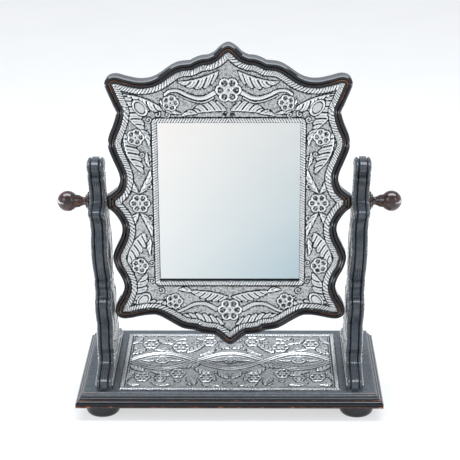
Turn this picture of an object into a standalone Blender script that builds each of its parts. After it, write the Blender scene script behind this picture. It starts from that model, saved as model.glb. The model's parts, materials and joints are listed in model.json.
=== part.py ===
"""A tabletop swing mirror: a serpentine mirror frame with embossed silver sheet, hung between two
scrolled uprights on a stepped base and clamped by a turned wooden knob on each side.

Metres, +Z up. The origin lies under the middle of the base, on the surface that the feet stand on.
+X is to the right seen from the front, and the mirror faces -Y."""

import math

import bmesh
import bpy
import numpy as np

MM = 0.001
CLEARANCE = 0.3 * MM  # gap that touching pieces keep

# Base
FOOT_RADIUS = 21.5 * MM
FOOT_HEIGHT = 15.5 * MM
FOOT_CENTRE = (157.5 * MM, 78.0 * MM)
TOP_BOARD_SIZE = (362.0 * MM, 189.0 * MM)
TOP_BOARD_THICKNESS = 5.2 * MM
MOULDING_HEIGHT = 11.5 * MM
MOULDING_WIDTH = 50.0 * MM
BASE_LEDGE = 8.5 * MM  # how far the mouldings stand out past the top board
BASE_SILVER_SIZE = (274.0 * MM, 167.0 * MM)
BASE_SILVER_CENTRE_Y = -3.5 * MM
SILVER_THICKNESS = 0.6 * MM

# Uprights: their inner faces at the height of the pivot, and how much they lean outwards
PIVOT_HEIGHT = 251.8 * MM
PIVOT_Y = -4.0 * MM  # the uprights stand a little in front of the base's middle
OUTLINE_RISE = 2.2 * MM  # how far above the pivot the outlines below have their zero
UPRIGHT_INNER_X = 152.6 * MM
UPRIGHT_THICKNESS = 18.5 * MM
UPRIGHT_LEAN = 0.032
UPRIGHT_EDGE = 3.4 * MM  # wood that shows round the silver plates
PIVOT_HOLE_RADIUS = 3.4 * MM
UPRIGHT_SCREW_Y = 28.0 * MM
UPRIGHT_SCREW_LENGTH = 46.0 * MM

# Mirror frame, its front at -Y
FRAME_FRONT = -8.5 * MM
FRAME_BACK = 8.5 * MM
FRAME_FACE = -6.2 * MM  # floor of the sunk face that carries the silver
FRAME_RIM = 9.2 * MM
FRAME_CHAMFER = 2.2 * MM
FRAME_CUSP_X = 150.0 * MM  # the frame's widest points, on the pivot axis
SIGHT_SIZE = (174.4 * MM, 206.6 * MM)
SIGHT_CENTRE_Z = -1.1 * MM
SIGHT_CORNER = 2.5 * MM
REBATE_MARGIN = 4.8 * MM
REBATE_FRONT = -2.6 * MM
PANEL_MARGIN = 15.0 * MM
PANEL_THICKNESS = 3.0 * MM
GLASS_THICKNESS = 3.0 * MM
CARD_THICKNESS = 1.8 * MM

# Pivot hardware
STUD_RADIUS = 2.5 * MM
STUD_ENDS = (138.5 * MM, 184.5 * MM)
INSERT_RADIUS = 4.2 * MM
INSERT_ENDS = (137.8 * MM, 149.6 * MM)
WASHER_RADIUS = 7.2 * MM
WASHER_THICKNESS = 0.7 * MM
KNOB_START = 172.8 * MM
KNOB_BALL_RADIUS = 12.9 * MM
KNOB_END = 212.8 * MM
KNOB_BALL_ANGLE = 136.0  # degrees of the ball's profile, from its far pole to the neck
# A knob's collar and neck, as (distance from its start, radius)
KNOB_NECK = ((0, 11.2), (0.5, 11.7), (1.8, 11.6), (2.6, 10.0), (3.4, 7.4), (4.8, 5.8), (6.8, 5.1),
             (9.4, 5.6), (12.6, 7.6))

# Screws
SCREW_RADIUS = 1.6 * MM
SCREW_HEAD_RADIUS = 3.2 * MM
SCREW_HEAD_DEPTH = 2.4 * MM
SCREW_SIDES = 8

CORNER = "corner"

# Right half of the frame's outline, from its apex down to its lower tip, as (x, z) in mm.
# A smooth curve runs through the points and breaks only at those marked as corners.
FRAME_HALF = (
    (0, 196.9, None), (4.6, 195.5, None), (10.2, 191.7, None), (17.2, 185.1, None),
    (24.4, 181.5, CORNER), (32, 180.7, None), (39.5, 178.2, None), (46, 174.7, CORNER),
    (53, 174.1, None), (60.5, 172.9, None), (67.5, 169.8, None), (75, 164.9, None), (82.5, 159.4, None),
    (89.5, 155.5, None), (96.5, 153.2, None), (104, 152.4, None), (112, 153, None),
    (124.5, 155.9, None), (133, 158.3, None), (140.5, 158.1, None), (146.6, 154.5, None),
    (149, 148.3, None), (146.6, 140, None), (139.4, 122.1, None), (136, 112.7, None),
    (139.9, 97.8, None), (145.3, 84.6, None), (147.4, 74.4, None), (146, 64.8, None),
    (140.4, 49.8, None), (135, 36, None), (133.9, 26.4, None), (137.4, 16.2, None), (143.6, 9.8, None),
    (150, 5.2, CORNER), (150, -9.6, CORNER), (143.4, -15, None), (136.6, -24.6, None),
    (133, -34.5, None), (134.6, -46.5, None), (141, -60.5, None), (145.6, -74.4, None),
    (142.2, -89.5, None), (135.2, -103.5, None), (132.7, -115, None), (136.2, -126.5, None),
    (142.4, -137.5, None), (145.3, -147.2, None), (142.6, -154.6, None), (136, -158, None),
    (127, -157.8, None), (115, -155.2, None), (104, -153.4, None), (92, -153.6, None),
    (80, -159.8, None), (69.9, -166.2, None), (60.5, -171.4, None), (52, -173.4, None),
    (44.5, -174.4, CORNER), (38.5, -177.6, None), (32.5, -179.2, None), (21.1, -180.4, CORNER),
    (15.6, -184, None), (10, -189, None), (4.6, -193, None), (0, -194.4, None),
)

# Front half of an upright's side outline, from its crown down to its toe, as (depth, z) in mm. The
# back half mirrors it.
UPRIGHT_HALF = (
    (0, 54.2, None), (8.5, 53.2, None), (15.0, 50.2, None), (18.4, 45.6, None),
    (17.6, 40.6, CORNER), (13.2, 38.0, None), (12.8, 35.4, None), (16.2, 32.6, None),
    (16.0, 28.4, CORNER), (12.2, 22.6, None), (11.0, 14.0, None), (12.4, 5.4, None),
    (17.0, 1.0, None), (28.0, -1.6, None), (36.4, -3.6, None), (39.0, -7.6, None),
    (36.8, -12.0, CORNER), (30.0, -16.8, None), (25.2, -23.4, None), (23.6, -31.0, None),
    (25.4, -38.4, CORNER), (31.0, -46.4, None), (34.4, -57.0, None), (34.4, -68.0, None),
    (31.0, -80.0, None), (25.0, -91.0, None), (21.4, -99.0, CORNER), (25.0, -102.4, None),
    (25.2, -107.0, CORNER), (22.4, -113.0, None), (25.0, -119.0, None), (32.0, -122.6, None),
    (37.4, -127.6, None), (38.4, -134.6, None), (35.4, -145.6, None), (30.6, -155.4, CORNER),
    (34.8, -163.0, None), (39.4, -173.0, None), (41.6, -184.6, CORNER), (40.4, -193.0, None),
    (44.4, -200.6, None), (56.0, -204.4, None), (70.0, -206.4, None), (79.4, -208.6, None),
    (84.6, -213.4, None),
)

BLACK_LACQUER = ("black_lacquer", (0.012, 0.012, 0.014), 0.22, 0.0)
KNOB_WOOD = ("knob_wood", (0.055, 0.016, 0.010), 0.2, 0.0)
SILVER = ("embossed_silver", (0.72, 0.72, 0.71), 0.32, 1.0)
MIRROR_GLASS = ("mirror_glass", (0.88, 0.92, 0.94), 0.02, 1.0)
CARD = ("packing_card", (0.36, 0.27, 0.18), 0.9, 0.0)
PANEL = ("back_panel_wood", (0.10, 0.045, 0.025), 0.45, 0.0)
STEEL = ("hardware_steel", (0.55, 0.55, 0.56), 0.3, 1.0)
BRASS = ("hardware_brass", (0.70, 0.50, 0.22), 0.3, 1.0)
LEATHER = ("washer_leather", (0.16, 0.08, 0.045), 0.8, 0.0)


def clear_scene():
    for item in list(bpy.data.objects):
        bpy.data.objects.remove(item, do_unlink=True)


def finish_of(look):
    """The Principled material for a look, made once and shared."""
    name, colour, roughness, metallic = look
    found = bpy.data.materials.get(name)
    if found:
        return found
    made = bpy.data.materials.new(name)
    made.use_nodes = True
    shader = made.node_tree.nodes["Principled BSDF"]
    shader.inputs["Base Color"].default_value = (*colour, 1.0)
    shader.inputs["Roughness"].default_value = roughness
    shader.inputs["Metallic"].default_value = metallic
    made.diffuse_color = (*colour, 1.0)
    return made


def add_empty(name, location, parent=None):
    made = bpy.data.objects.new(name, None)
    made.location = location
    made.parent = parent
    bpy.context.scene.collection.objects.link(made)
    return made


def add_mesh(name, shape, look, parent=None, smooth_angle=35.0):
    """An object from a bmesh whose points are already in the parent's frame."""
    bmesh.ops.recalc_face_normals(shape, faces=shape.faces)
    mesh = bpy.data.meshes.new(name)
    shape.to_mesh(mesh)
    shape.free()
    mesh.shade_smooth()
    mesh.set_sharp_from_angle(angle=math.radians(smooth_angle))
    made = bpy.data.objects.new(name, mesh)
    if look:
        mesh.materials.append(finish_of(look))
    made.parent = parent
    bpy.context.scene.collection.objects.link(made)
    return made


def loft(loops):
    """A closed body through loops that have the same number of points, capped at both ends."""
    shape = bmesh.new()
    rings = [[shape.verts.new(point) for point in loop] for loop in loops]
    for lower, upper in zip(rings, rings[1:]):
        for k in range(len(lower)):
            after = (k + 1) % len(lower)
            shape.faces.new((lower[k], lower[after], upper[after], upper[k]))
    shape.faces.new(rings[0])
    shape.faces.new(reversed(rings[-1]))
    return shape


def turned(profile, centre, axis, segments=32):
    """A body turned about an axis: profile holds (distance along the axis, radius), solid inside
    unless its first and last radii differ from 0, when it closes on itself as a tube."""
    shape = bmesh.new()
    side, up = {"X": ((0, 1, 0), (0, 0, 1)), "Y": ((0, 0, 1), (1, 0, 0)), "Z": ((1, 0, 0), (0, 1, 0))}[axis]
    along = np.cross(side, up)
    rings = []
    for distance, radius in profile:
        middle = np.array(centre) + along * distance
        if radius == 0:
            rings.append([shape.verts.new(middle)])
            continue
        angles = [2 * math.pi * k / segments for k in range(segments)]
        rings.append([
            shape.verts.new(middle + radius * (math.cos(a) * np.array(side) + math.sin(a) * np.array(up)))
            for a in angles
        ])
    tube = len(rings[0]) > 1 and len(rings[-1]) > 1
    pairs = list(zip(rings, rings[1:] + rings[:1])) if tube else list(zip(rings, rings[1:]))
    for lower, upper in pairs:
        for k in range(segments):
            after = (k + 1) % segments
            corners = [lower[k % len(lower)], lower[after % len(lower)],
                       upper[after % len(upper)], upper[k % len(upper)]]
            shape.faces.new(list(dict.fromkeys(corners)))
    return shape


def cut(target, cutter_shape, name):
    """Takes the cutter's shape out of the target, with a live Boolean."""
    cutter = add_mesh(name, cutter_shape, None, target.parent)
    cutter.hide_render = True
    cutter.display_type = "WIRE"
    boolean = target.modifiers.new(name, "BOOLEAN")
    boolean.operation = "DIFFERENCE"
    boolean.object = cutter


def drill(target, centre, axis, radius, length, name, segments=20):
    """A round hole centred on a point, half its length to each side."""
    profile = ((-length / 2, 0), (-length / 2, radius), (length / 2, radius), (length / 2, 0))
    cut(target, turned(profile, centre, axis, segments), name)


def smooth_run(points, steps):
    """A Catmull-Rom curve through points, each span in equal steps, its last point left out."""
    ends = np.vstack([2 * points[0] - points[1], points, 2 * points[-1] - points[-2]])
    made = []
    for before, start, end, after in zip(ends, ends[1:], ends[2:], ends[3:]):
        for t in np.arange(steps) / steps:
            made.append(0.5 * (2 * start + (end - before) * t
                               + (2 * before - 5 * start + 4 * end - after) * t * t
                               + (3 * start - before - 3 * end + after) * t ** 3))
    return made


def whole_outline(half, steps, smooth_ends):
    """The closed outline whose right half is given, in metres from the pivot: half the points,
    then their mirror image in reverse. Corners break the curve. With smooth ends it stays round
    across the middle."""
    right = [np.array(knot[:2]) * MM + (0, OUTLINE_RISE) for knot in half]
    marks = [knot[2] == CORNER for knot in half]
    flip = np.array([-1.0, 1.0])
    first = 1 if smooth_ends else 0
    points = right + [point * flip for point in right[::-1]][first:-1]
    corners = marks + marks[::-1][first:-1]
    if not smooth_ends:
        corners[len(right) - 1] = corners[len(right)] = True
    start = next(k for k, corner in enumerate(corners) if corner)
    points = points[start:] + points[:start] + [points[start]]
    corners = corners[start:] + corners[:start] + [True]
    made = []
    run = [points[0]]
    for point, corner in zip(points[1:], corners[1:]):
        run.append(point)
        if corner:
            made += smooth_run(np.array(run), steps)
            run = [point]
    return np.array(made)


def thinned(points, tolerance):
    """Points of an open line that matter: those further than tolerance from a straight run."""
    if len(points) < 3:
        return list(points)
    start, end = points[0], points[-1]
    run = end - start
    offset = points - start
    distance = np.abs(run[0] * offset[:, 1] - run[1] * offset[:, 0]) / max(np.hypot(*run), 1e-9)
    far = int(distance.argmax())
    if distance[far] < tolerance:
        return [start, end]
    return thinned(points[: far + 1], tolerance)[:-1] + thinned(points[far:], tolerance)


def inset(outline, distance, spacing=0.8 * MM, tolerance=0.25 * MM):
    """The outline moved inwards. Points come from each side, moved along its normal, and those
    nearer than the distance to any other side are dropped, so no loop is left."""
    after = np.roll(outline, -1, axis=0)
    turn = np.sum(outline[:, 0] * after[:, 1] - after[:, 0] * outline[:, 1])
    moved = []
    for start, end in zip(outline, after):
        run = end - start
        normal = np.array([-run[1], run[0]]) / np.hypot(*run) * math.copysign(1, turn)
        count = max(1, round(np.hypot(*run) / spacing))
        for t in (np.arange(count) + 0.5) / count:
            moved.append(start + run * t + normal * distance)
    moved = np.array(moved)
    run = after - outline
    t = np.einsum("pqk,qk->pq", moved[:, None] - outline, run) / np.sum(run * run, axis=1)
    nearest = outline + np.clip(t, 0, 1)[..., None] * run
    gap = np.linalg.norm(moved[:, None] - nearest, axis=2).min(axis=1)
    kept = moved[gap > distance - 0.0001 * MM]
    half = len(kept) // 2
    return np.array(thinned(kept[: half + 1], tolerance)[:-1]
                    + thinned(np.vstack([kept[half:], kept[:1]]), tolerance)[:-1])


def rounded_rectangle(width, height, centre_z, radius, corner_steps=4):
    corners = []
    for sx, sz, start in ((1, 1, 0), (-1, 1, 90), (-1, -1, 180), (1, -1, 270)):
        for k in range(corner_steps + 1):
            angle = math.radians(start + 90 * k / corner_steps)
            corners.append((sx * (width / 2 - radius) + radius * math.cos(angle),
                            centre_z + sz * (height / 2 - radius) + radius * math.sin(angle)))
    return np.array(corners)


def slab(outline, front, back):
    """An (x, z) outline given thickness along Y."""
    return loft([[(x, front, z) for x, z in outline], [(x, back, z) for x, z in outline]])


def annulus(outer, inner, front, back):
    """A slab with a hole: both outlines filled between, then pulled back along Y."""
    shape = bmesh.new()
    for outline in (outer, inner):
        points = [shape.verts.new((x, front, z)) for x, z in outline]
        for k, point in enumerate(points):
            shape.edges.new((point, points[(k + 1) % len(points)]))
    bmesh.ops.triangle_fill(shape, use_beauty=True, edges=shape.edges[:])
    pulled = bmesh.ops.extrude_face_region(shape, geom=shape.faces[:])
    verts = [item for item in pulled["geom"] if isinstance(item, bmesh.types.BMVert)]
    bmesh.ops.translate(shape, verts=verts, vec=(0, back - front, 0))
    return shape


def screw(name, tip, head, look, parent):
    """A countersunk wood screw from the middle of its head to its tip, along one axis."""
    run = np.array(tip) - np.array(head)
    axis = "XYZ"[int(np.abs(run).argmax())]
    length = run.sum()
    way = math.copysign(1, length)
    profile = [(0, 0), (0, SCREW_HEAD_RADIUS), (SCREW_HEAD_DEPTH * way, SCREW_RADIUS),
               (length - 3 * MM * way, SCREW_RADIUS), (length, 0)]
    return add_mesh(name, turned(profile, head, axis, SCREW_SIDES), look, parent)


def screw_hole(target, tip, head, name):
    """The countersink and the hole that a screw sits in, open past its head."""
    run = np.array(tip) - np.array(head)
    axis = "XYZ"[int(np.abs(run).argmax())]
    length = run.sum()
    way = math.copysign(1, length)
    gap = CLEARANCE
    profile = [(-6 * MM * way, 0), (-6 * MM * way, SCREW_HEAD_RADIUS + gap), (0, SCREW_HEAD_RADIUS + gap),
               (SCREW_HEAD_DEPTH * way, SCREW_RADIUS + gap), (length + gap * way, SCREW_RADIUS + gap),
               (length + gap * way, 0)]
    cut(target, turned(profile, head, axis, SCREW_SIDES), name)


def build_base(stand):
    """The top board on its mitred mouldings, and the embossed sheet that lies on it."""
    half_x, half_y = (size / 2 for size in TOP_BOARD_SIZE)
    bottom = FOOT_HEIGHT + CLEARANCE
    board_bottom = bottom + MOULDING_HEIGHT + CLEARANCE
    board_top = board_bottom + TOP_BOARD_THICKNESS
    loops = [
        [(sx * (half_x + out), sy * (half_y + out), z) for sx, sy in ((1, 1), (-1, 1), (-1, -1), (1, -1))]
        for out, z in ((1.5 * MM, board_bottom), (1.5 * MM, board_bottom + 2.7 * MM),
                       (0, board_bottom + 2.8 * MM), (0, board_top - 0.5 * MM), (-0.5 * MM, board_top))
    ]
    board = add_mesh("base_top_board", loft(loops), BLACK_LACQUER, stand)

    profile = [
        (BASE_LEDGE - MOULDING_WIDTH, 0), (BASE_LEDGE - 1.0 * MM, 0), (BASE_LEDGE, 1.2 * MM),
        (BASE_LEDGE, 6.2 * MM), (BASE_LEDGE - 0.8 * MM, 7.6 * MM), (4.8 * MM, 8.2 * MM),
        (4.0 * MM, 9.0 * MM), (4.0 * MM, 11.1 * MM), (3.4 * MM, MOULDING_HEIGHT),
        (BASE_LEDGE - MOULDING_WIDTH, MOULDING_HEIGHT),
    ]
    mitre = CLEARANCE / 2
    mouldings = []
    places = (("front", True, -1), ("back", True, 1), ("left", False, -1), ("right", False, 1))
    for name, along_x, side in places:
        loops = []
        for end in (-1, 1):
            loop = []
            for out, z in profile:
                across = side * ((half_y if along_x else half_x) + out)
                along = end * ((half_x if along_x else half_y) + out - mitre)
                loop.append((along, across, bottom + z) if along_x else (across, along, bottom + z))
            loops.append(loop)
        mouldings.append(add_mesh(f"base_moulding_{name}", loft(loops), BLACK_LACQUER, stand))

    silver_x, silver_y = (size / 2 for size in BASE_SILVER_SIZE)
    loops = [
        [(sx * silver_x, BASE_SILVER_CENTRE_Y + sy * silver_y, z)
         for sx, sy in ((1, 1), (-1, 1), (-1, -1), (1, -1))]
        for z in (board_top + CLEARANCE, board_top + CLEARANCE + SILVER_THICKNESS)
    ]
    add_mesh("base_silver_plate", loft(loops), SILVER, stand)
    return board, {place[0]: moulding for place, moulding in zip(places, mouldings)}, bottom, board_top


def build_feet(stand, mouldings, base_bottom):
    """Four turned bun feet near the corners, each held by a countersunk screw from below."""
    rim = FOOT_RADIUS
    profile = ((FOOT_HEIGHT, 0), (FOOT_HEIGHT, rim - 1.2 * MM), (FOOT_HEIGHT - 2.2 * MM, rim),
               (5.5 * MM, rim - 0.3 * MM), (2.0 * MM, rim - 1.9 * MM), (0, rim - 5.0 * MM), (0, 0))
    for front, sy in (("front", -1), ("back", 1)):
        for side, sx in (("left", -1), ("right", 1)):
            x, y = sx * FOOT_CENTRE[0], sy * FOOT_CENTRE[1]
            foot = add_mesh(f"foot_{front}_{side}", turned(profile, (x, y, 0), "Z", 28), BLACK_LACQUER, stand)
            head, tip = (x, y, 1.6 * MM), (x, y, base_bottom + 8.5 * MM)
            screw(f"foot_screw_{front}_{side}", tip, head, STEEL, stand)
            screw_hole(foot, tip, head, f"cut_foot_{front}_{side}")
            screw_hole(mouldings[front], tip, head, f"cut_moulding_{front}_{side}")


def upright_sheet(outline, side, inner, outer):
    """A leaning sheet between two distances from the middle plane, cut to a side outline."""
    loops = []
    for across in (inner, outer):
        loops.append([(side * (across + UPRIGHT_LEAN * z), y, z) for y, z in outline])
    return loft(loops)


def build_upright(stand, side_name, side, board, moulding, base_bottom, base_top):
    """A scrolled upright with a proud middle band along its edge, and a silver plate on each face."""
    anchor = add_empty(f"upright_{side_name}_anchor", (0, PIVOT_Y, PIVOT_HEIGHT), stand)
    foot_z = base_top + CLEARANCE - PIVOT_HEIGHT
    half = UPRIGHT_HALF + ((UPRIGHT_HALF[-1][0] - 0.4, (foot_z - OUTLINE_RISE) / MM, CORNER),)
    outline = whole_outline(half, 1, smooth_ends=False)
    body = np.where(outline[:, 1:] > foot_z + 1 * MM, 1.0, 0.0)
    loops = []
    for across, drawn_in in ((0, 2.4), (2.2, 1.1), (5.0, 0), (13.5, 0), (16.3, 1.1), (18.5, 2.4)):
        points = outline + inward_normals(outline) * drawn_in * MM * body
        loops.append([(side * (UPRIGHT_INNER_X + across * MM + UPRIGHT_LEAN * z), y, z) for y, z in points])
    upright = add_mesh(f"upright_{side_name}", loft(loops), BLACK_LACQUER, anchor, 28.0)
    pivot_x = side * (UPRIGHT_INNER_X + UPRIGHT_THICKNESS / 2)
    drill(upright, (pivot_x, 0, 0), "X", PIVOT_HOLE_RADIUS, 30 * MM, f"cut_pivot_{side_name}")

    plate_outline = inset(outline, UPRIGHT_EDGE)
    inner_start = UPRIGHT_INNER_X - CLEARANCE - SILVER_THICKNESS
    outer_start = UPRIGHT_INNER_X + UPRIGHT_THICKNESS + CLEARANCE
    for face, start in (("inner", inner_start), ("outer", outer_start)):
        shape = upright_sheet(plate_outline, side, start, start + SILVER_THICKNESS)
        plate = add_mesh(f"upright_{side_name}_{face}_silver", shape, SILVER, anchor)
        middle = side * (start + SILVER_THICKNESS / 2)
        drill(plate, (middle, 0, 0), "X", PIVOT_HOLE_RADIUS + 1 * MM, 8 * MM, f"cut_{face}_{side_name}")

    foot_x = side * (UPRIGHT_INNER_X + UPRIGHT_THICKNESS / 2 + UPRIGHT_LEAN * foot_z)
    for place, sy in (("front", -1), ("back", 1)):
        head = (foot_x, PIVOT_Y + sy * UPRIGHT_SCREW_Y, base_bottom + 1.0 * MM)
        tip = (foot_x, PIVOT_Y + sy * UPRIGHT_SCREW_Y, base_bottom + UPRIGHT_SCREW_LENGTH)
        screw(f"upright_screw_{place}_{side_name}", tip, head, STEEL, stand)
        for target, what in ((board, "board"), (moulding, "moulding")):
            screw_hole(target, tip, head, f"cut_{what}_{place}_{side_name}")
        low_head, low_tip = ((p[0], p[1] - PIVOT_Y, p[2] - PIVOT_HEIGHT) for p in (head, tip))
        screw_hole(upright, low_tip, low_head, f"cut_upright_{place}_{side_name}")


def inward_normals(outline):
    """A unit normal at each point of a closed outline, pointing in, lengthened where it turns so
    that both neighbouring sides move in by one."""
    before = outline - np.roll(outline, 1, axis=0)
    after = np.roll(outline, -1, axis=0) - outline
    before /= np.linalg.norm(before, axis=1)[:, None]
    after /= np.linalg.norm(after, axis=1)[:, None]
    turn = np.sum(outline[:, 0] * np.roll(outline[:, 1], -1) - np.roll(outline[:, 0], -1) * outline[:, 1])
    way = math.copysign(1, turn)
    normal = np.stack([-(before + after)[:, 1], (before + after)[:, 0]], axis=1) * way
    normal /= np.linalg.norm(normal, axis=1)[:, None]
    spread = np.stack([-before[:, 1], before[:, 0]], axis=1) * way
    return normal / np.maximum(np.sum(normal * spread, axis=1), 0.7)[:, None]


def build_mirror(pivot):
    """The frame with its sunk face, the glass with its packing and back panel, and the silver."""
    outline = whole_outline(FRAME_HALF, 2, smooth_ends=True)
    normals = inward_normals(outline)
    loops = []
    for y, drawn_in in ((FRAME_FRONT, FRAME_CHAMFER), (FRAME_FRONT + FRAME_CHAMFER, 0), (FRAME_BACK, 0)):
        points = outline + normals * drawn_in
        loops.append([(x, y, z) for x, z in points])
    frame = add_mesh("mirror_frame", loft(loops), BLACK_LACQUER, pivot, 28.0)

    face = inset(outline, FRAME_RIM)
    cut(frame, slab(face, FRAME_FRONT - 2 * MM, FRAME_FACE), "cut_face")
    width, height = SIGHT_SIZE
    wood_sight = rounded_rectangle(width + 1.6 * MM, height + 1.6 * MM, SIGHT_CENTRE_Z, SIGHT_CORNER)
    cut(frame, slab(wood_sight, FRAME_FRONT - 4 * MM, FRAME_BACK + 4 * MM), "cut_sight")
    rebate = [size + 2 * REBATE_MARGIN for size in SIGHT_SIZE]
    rebate_outline = rounded_rectangle(*rebate, SIGHT_CENTRE_Z, 1.0 * MM, 1)
    cut(frame, slab(rebate_outline, REBATE_FRONT, FRAME_BACK + 5 * MM), "cut_rebate")
    panel = [size + 2 * PANEL_MARGIN for size in SIGHT_SIZE]
    panel_front = FRAME_BACK - PANEL_THICKNESS - 2 * CLEARANCE
    panel_hole = rounded_rectangle(*panel, SIGHT_CENTRE_Z, 3.0 * MM, 2)
    cut(frame, slab(panel_hole, panel_front, FRAME_BACK + 6 * MM), "cut_panel")

    def layer(name, size, front, thickness, radius, look):
        shape = slab(rounded_rectangle(*size, SIGHT_CENTRE_Z, radius, 2), front, front + thickness)
        return add_mesh(name, shape, look, pivot)

    fit = [size - 1.2 * MM for size in rebate]
    layer("mirror_glass", fit, REBATE_FRONT + CLEARANCE, GLASS_THICKNESS, 1.0 * MM, MIRROR_GLASS)
    card_front = REBATE_FRONT + 2 * CLEARANCE + GLASS_THICKNESS
    layer("packing_card", fit, card_front, CARD_THICKNESS, 1.0 * MM, CARD)
    panel_fit = [size - 1.2 * MM for size in panel]
    back_panel = layer("back_panel", panel_fit, panel_front + CLEARANCE, PANEL_THICKNESS, 2.5 * MM, PANEL)

    sheet_outline = inset(outline, FRAME_RIM + CLEARANCE)
    sight = rounded_rectangle(width, height, SIGHT_CENTRE_Z, SIGHT_CORNER)
    silver_back = FRAME_FACE - CLEARANCE
    add_mesh("frame_silver", annulus(sheet_outline, sight, silver_back - SILVER_THICKNESS, silver_back),
             SILVER, pivot)

    head_y = FRAME_BACK - CLEARANCE - 0.2 * MM
    screw_x = width / 2 + (REBATE_MARGIN + PANEL_MARGIN) / 2
    screw_z = height / 2 + (REBATE_MARGIN + PANEL_MARGIN) / 2
    places = [("top", 0, 1), ("bottom", 0, -1)]
    places += [(f"{level}_{side}", sx, sz) for level, sz in (("upper", 0.62), ("lower", -0.62))
               for side, sx in (("left", -1), ("right", 1))]
    for place, sx, sz in places:
        x, z = sx * screw_x, SIGHT_CENTRE_Z + sz * screw_z
        head, tip = (x, head_y, z), (x, -0.5 * MM, z)
        screw(f"panel_screw_{place}", tip, head, BRASS, pivot)
        screw_hole(frame, tip, head, f"cut_frame_screw_{place}")
        screw_hole(back_panel, tip, head, f"cut_panel_screw_{place}")
    return frame


def build_pivot(side_name, side, mirror_pivot, frame):
    """The clamp on one side: a threaded insert in the frame, a washer, and the knob on its stud."""
    start, end = INSERT_ENDS
    gap = CLEARANCE
    bore = STUD_RADIUS + gap
    tube = ((start, bore), (start, INSERT_RADIUS), (end, INSERT_RADIUS), (end, bore))
    tube = [(side * along, radius) for along, radius in tube]
    add_mesh(f"threaded_insert_{side_name}", turned(tube, (0, 0, 0), "X", 20), BRASS, mirror_pivot)
    open_end = FRAME_CUSP_X + 10 * MM
    middle = side * (start + open_end) / 2
    length = open_end - start + 2 * gap
    drill(frame, (middle, 0, 0), "X", INSERT_RADIUS + gap, length, f"cut_insert_{side_name}")

    washer = FRAME_CUSP_X + CLEARANCE
    ring = ((washer, bore), (washer, WASHER_RADIUS), (washer + WASHER_THICKNESS, WASHER_RADIUS),
            (washer + WASHER_THICKNESS, bore))
    ring = [(side * along, radius) for along, radius in ring]
    add_mesh(f"friction_washer_{side_name}", turned(ring, (0, 0, 0), "X", 20), LEATHER, mirror_pivot)

    axis = add_empty(f"{side_name}_knob_axis", (0, 0, 0), mirror_pivot)
    ball = KNOB_END - KNOB_BALL_RADIUS
    bottom = STUD_ENDS[1] + gap
    profile = [(bottom, 0), (bottom, bore), (KNOB_START, bore)]
    profile += [(KNOB_START + along * MM, radius * MM) for along, radius in KNOB_NECK]
    steps = 7
    for k in range(steps + 1):
        angle = math.radians(KNOB_BALL_ANGLE * (1 - k / steps))
        profile.append((ball + KNOB_BALL_RADIUS * math.cos(angle),
                        KNOB_BALL_RADIUS * math.sin(angle) if k < steps else 0))
    profile = [(side * along, radius) for along, radius in profile]
    add_mesh(f"knob_{side_name}", turned(profile, (0, 0, 0), "X", 24), KNOB_WOOD, axis)
    rod = [(side * along, radius) for along, radius in
           ((STUD_ENDS[0], 0), (STUD_ENDS[0], STUD_RADIUS), (STUD_ENDS[1], STUD_RADIUS), (STUD_ENDS[1], 0))]
    add_mesh(f"stud_{side_name}", turned(rod, (0, 0, 0), "X", 16), STEEL, axis)


def main():
    clear_scene()
    stand = add_empty("stand", (0, 0, 0))
    board, mouldings, base_bottom, base_top = build_base(stand)
    build_feet(stand, mouldings, base_bottom)
    for side_name, side in (("left", -1), ("right", 1)):
        build_upright(stand, side_name, side, board, mouldings[side_name], base_bottom, base_top)
    mirror_pivot = add_empty("mirror_pivot", (0, PIVOT_Y, PIVOT_HEIGHT), stand)
    frame = build_mirror(mirror_pivot)
    for side_name, side in (("left", -1), ("right", 1)):
        build_pivot(side_name, side, mirror_pivot, frame)


main()
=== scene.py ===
"""Looks of a tabletop swing mirror: lacquered wood with worn arrises, embossed silver sheet, a silvered
glass and turned knobs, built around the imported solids. Metres in the scene; the classes hold mm."""

import json
import logging
import math
from dataclasses import dataclass, field
from enum import Enum
from typing import Callable, ClassVar, Sequence

import bmesh
import bpy
import numpy as np
from mathutils import Matrix, Vector
from mathutils.geometry import tessellate_polygon


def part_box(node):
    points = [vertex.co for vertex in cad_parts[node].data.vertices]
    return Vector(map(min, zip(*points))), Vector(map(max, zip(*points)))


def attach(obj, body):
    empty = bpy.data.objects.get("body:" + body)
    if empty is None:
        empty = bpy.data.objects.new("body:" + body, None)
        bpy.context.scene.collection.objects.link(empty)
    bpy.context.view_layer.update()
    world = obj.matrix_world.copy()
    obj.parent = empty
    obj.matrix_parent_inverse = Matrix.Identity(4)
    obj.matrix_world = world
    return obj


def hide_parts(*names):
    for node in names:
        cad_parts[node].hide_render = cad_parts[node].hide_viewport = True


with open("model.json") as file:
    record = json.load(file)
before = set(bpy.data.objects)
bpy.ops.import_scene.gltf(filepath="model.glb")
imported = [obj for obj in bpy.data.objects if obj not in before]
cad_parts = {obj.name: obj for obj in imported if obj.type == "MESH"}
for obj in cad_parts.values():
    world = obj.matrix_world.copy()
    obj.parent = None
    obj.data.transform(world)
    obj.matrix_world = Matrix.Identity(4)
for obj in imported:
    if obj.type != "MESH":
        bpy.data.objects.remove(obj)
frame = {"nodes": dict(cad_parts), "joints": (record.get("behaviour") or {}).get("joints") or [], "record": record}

Array = np.ndarray
Knots = tuple[tuple[float, float], ...]
Socket = bpy.types.NodeSocket
Fed = bpy.types.NodeSocket | float | tuple  # what may feed a socket: an output, or the socket's own value
log = logging.getLogger("swing_mirror")

MM = 0.001
SIDES = {"left": -1.0, "right": 1.0}
OUTLINE_RISE = 2.2  # mm that the outlines and ornament have their zero above the pivot


class Body(Enum):
    """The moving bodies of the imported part."""

    STAND = "stand"
    MIRROR = "mirror"
    LEFT_KNOB = "left_knob"
    RIGHT_KNOB = "right_knob"


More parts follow.
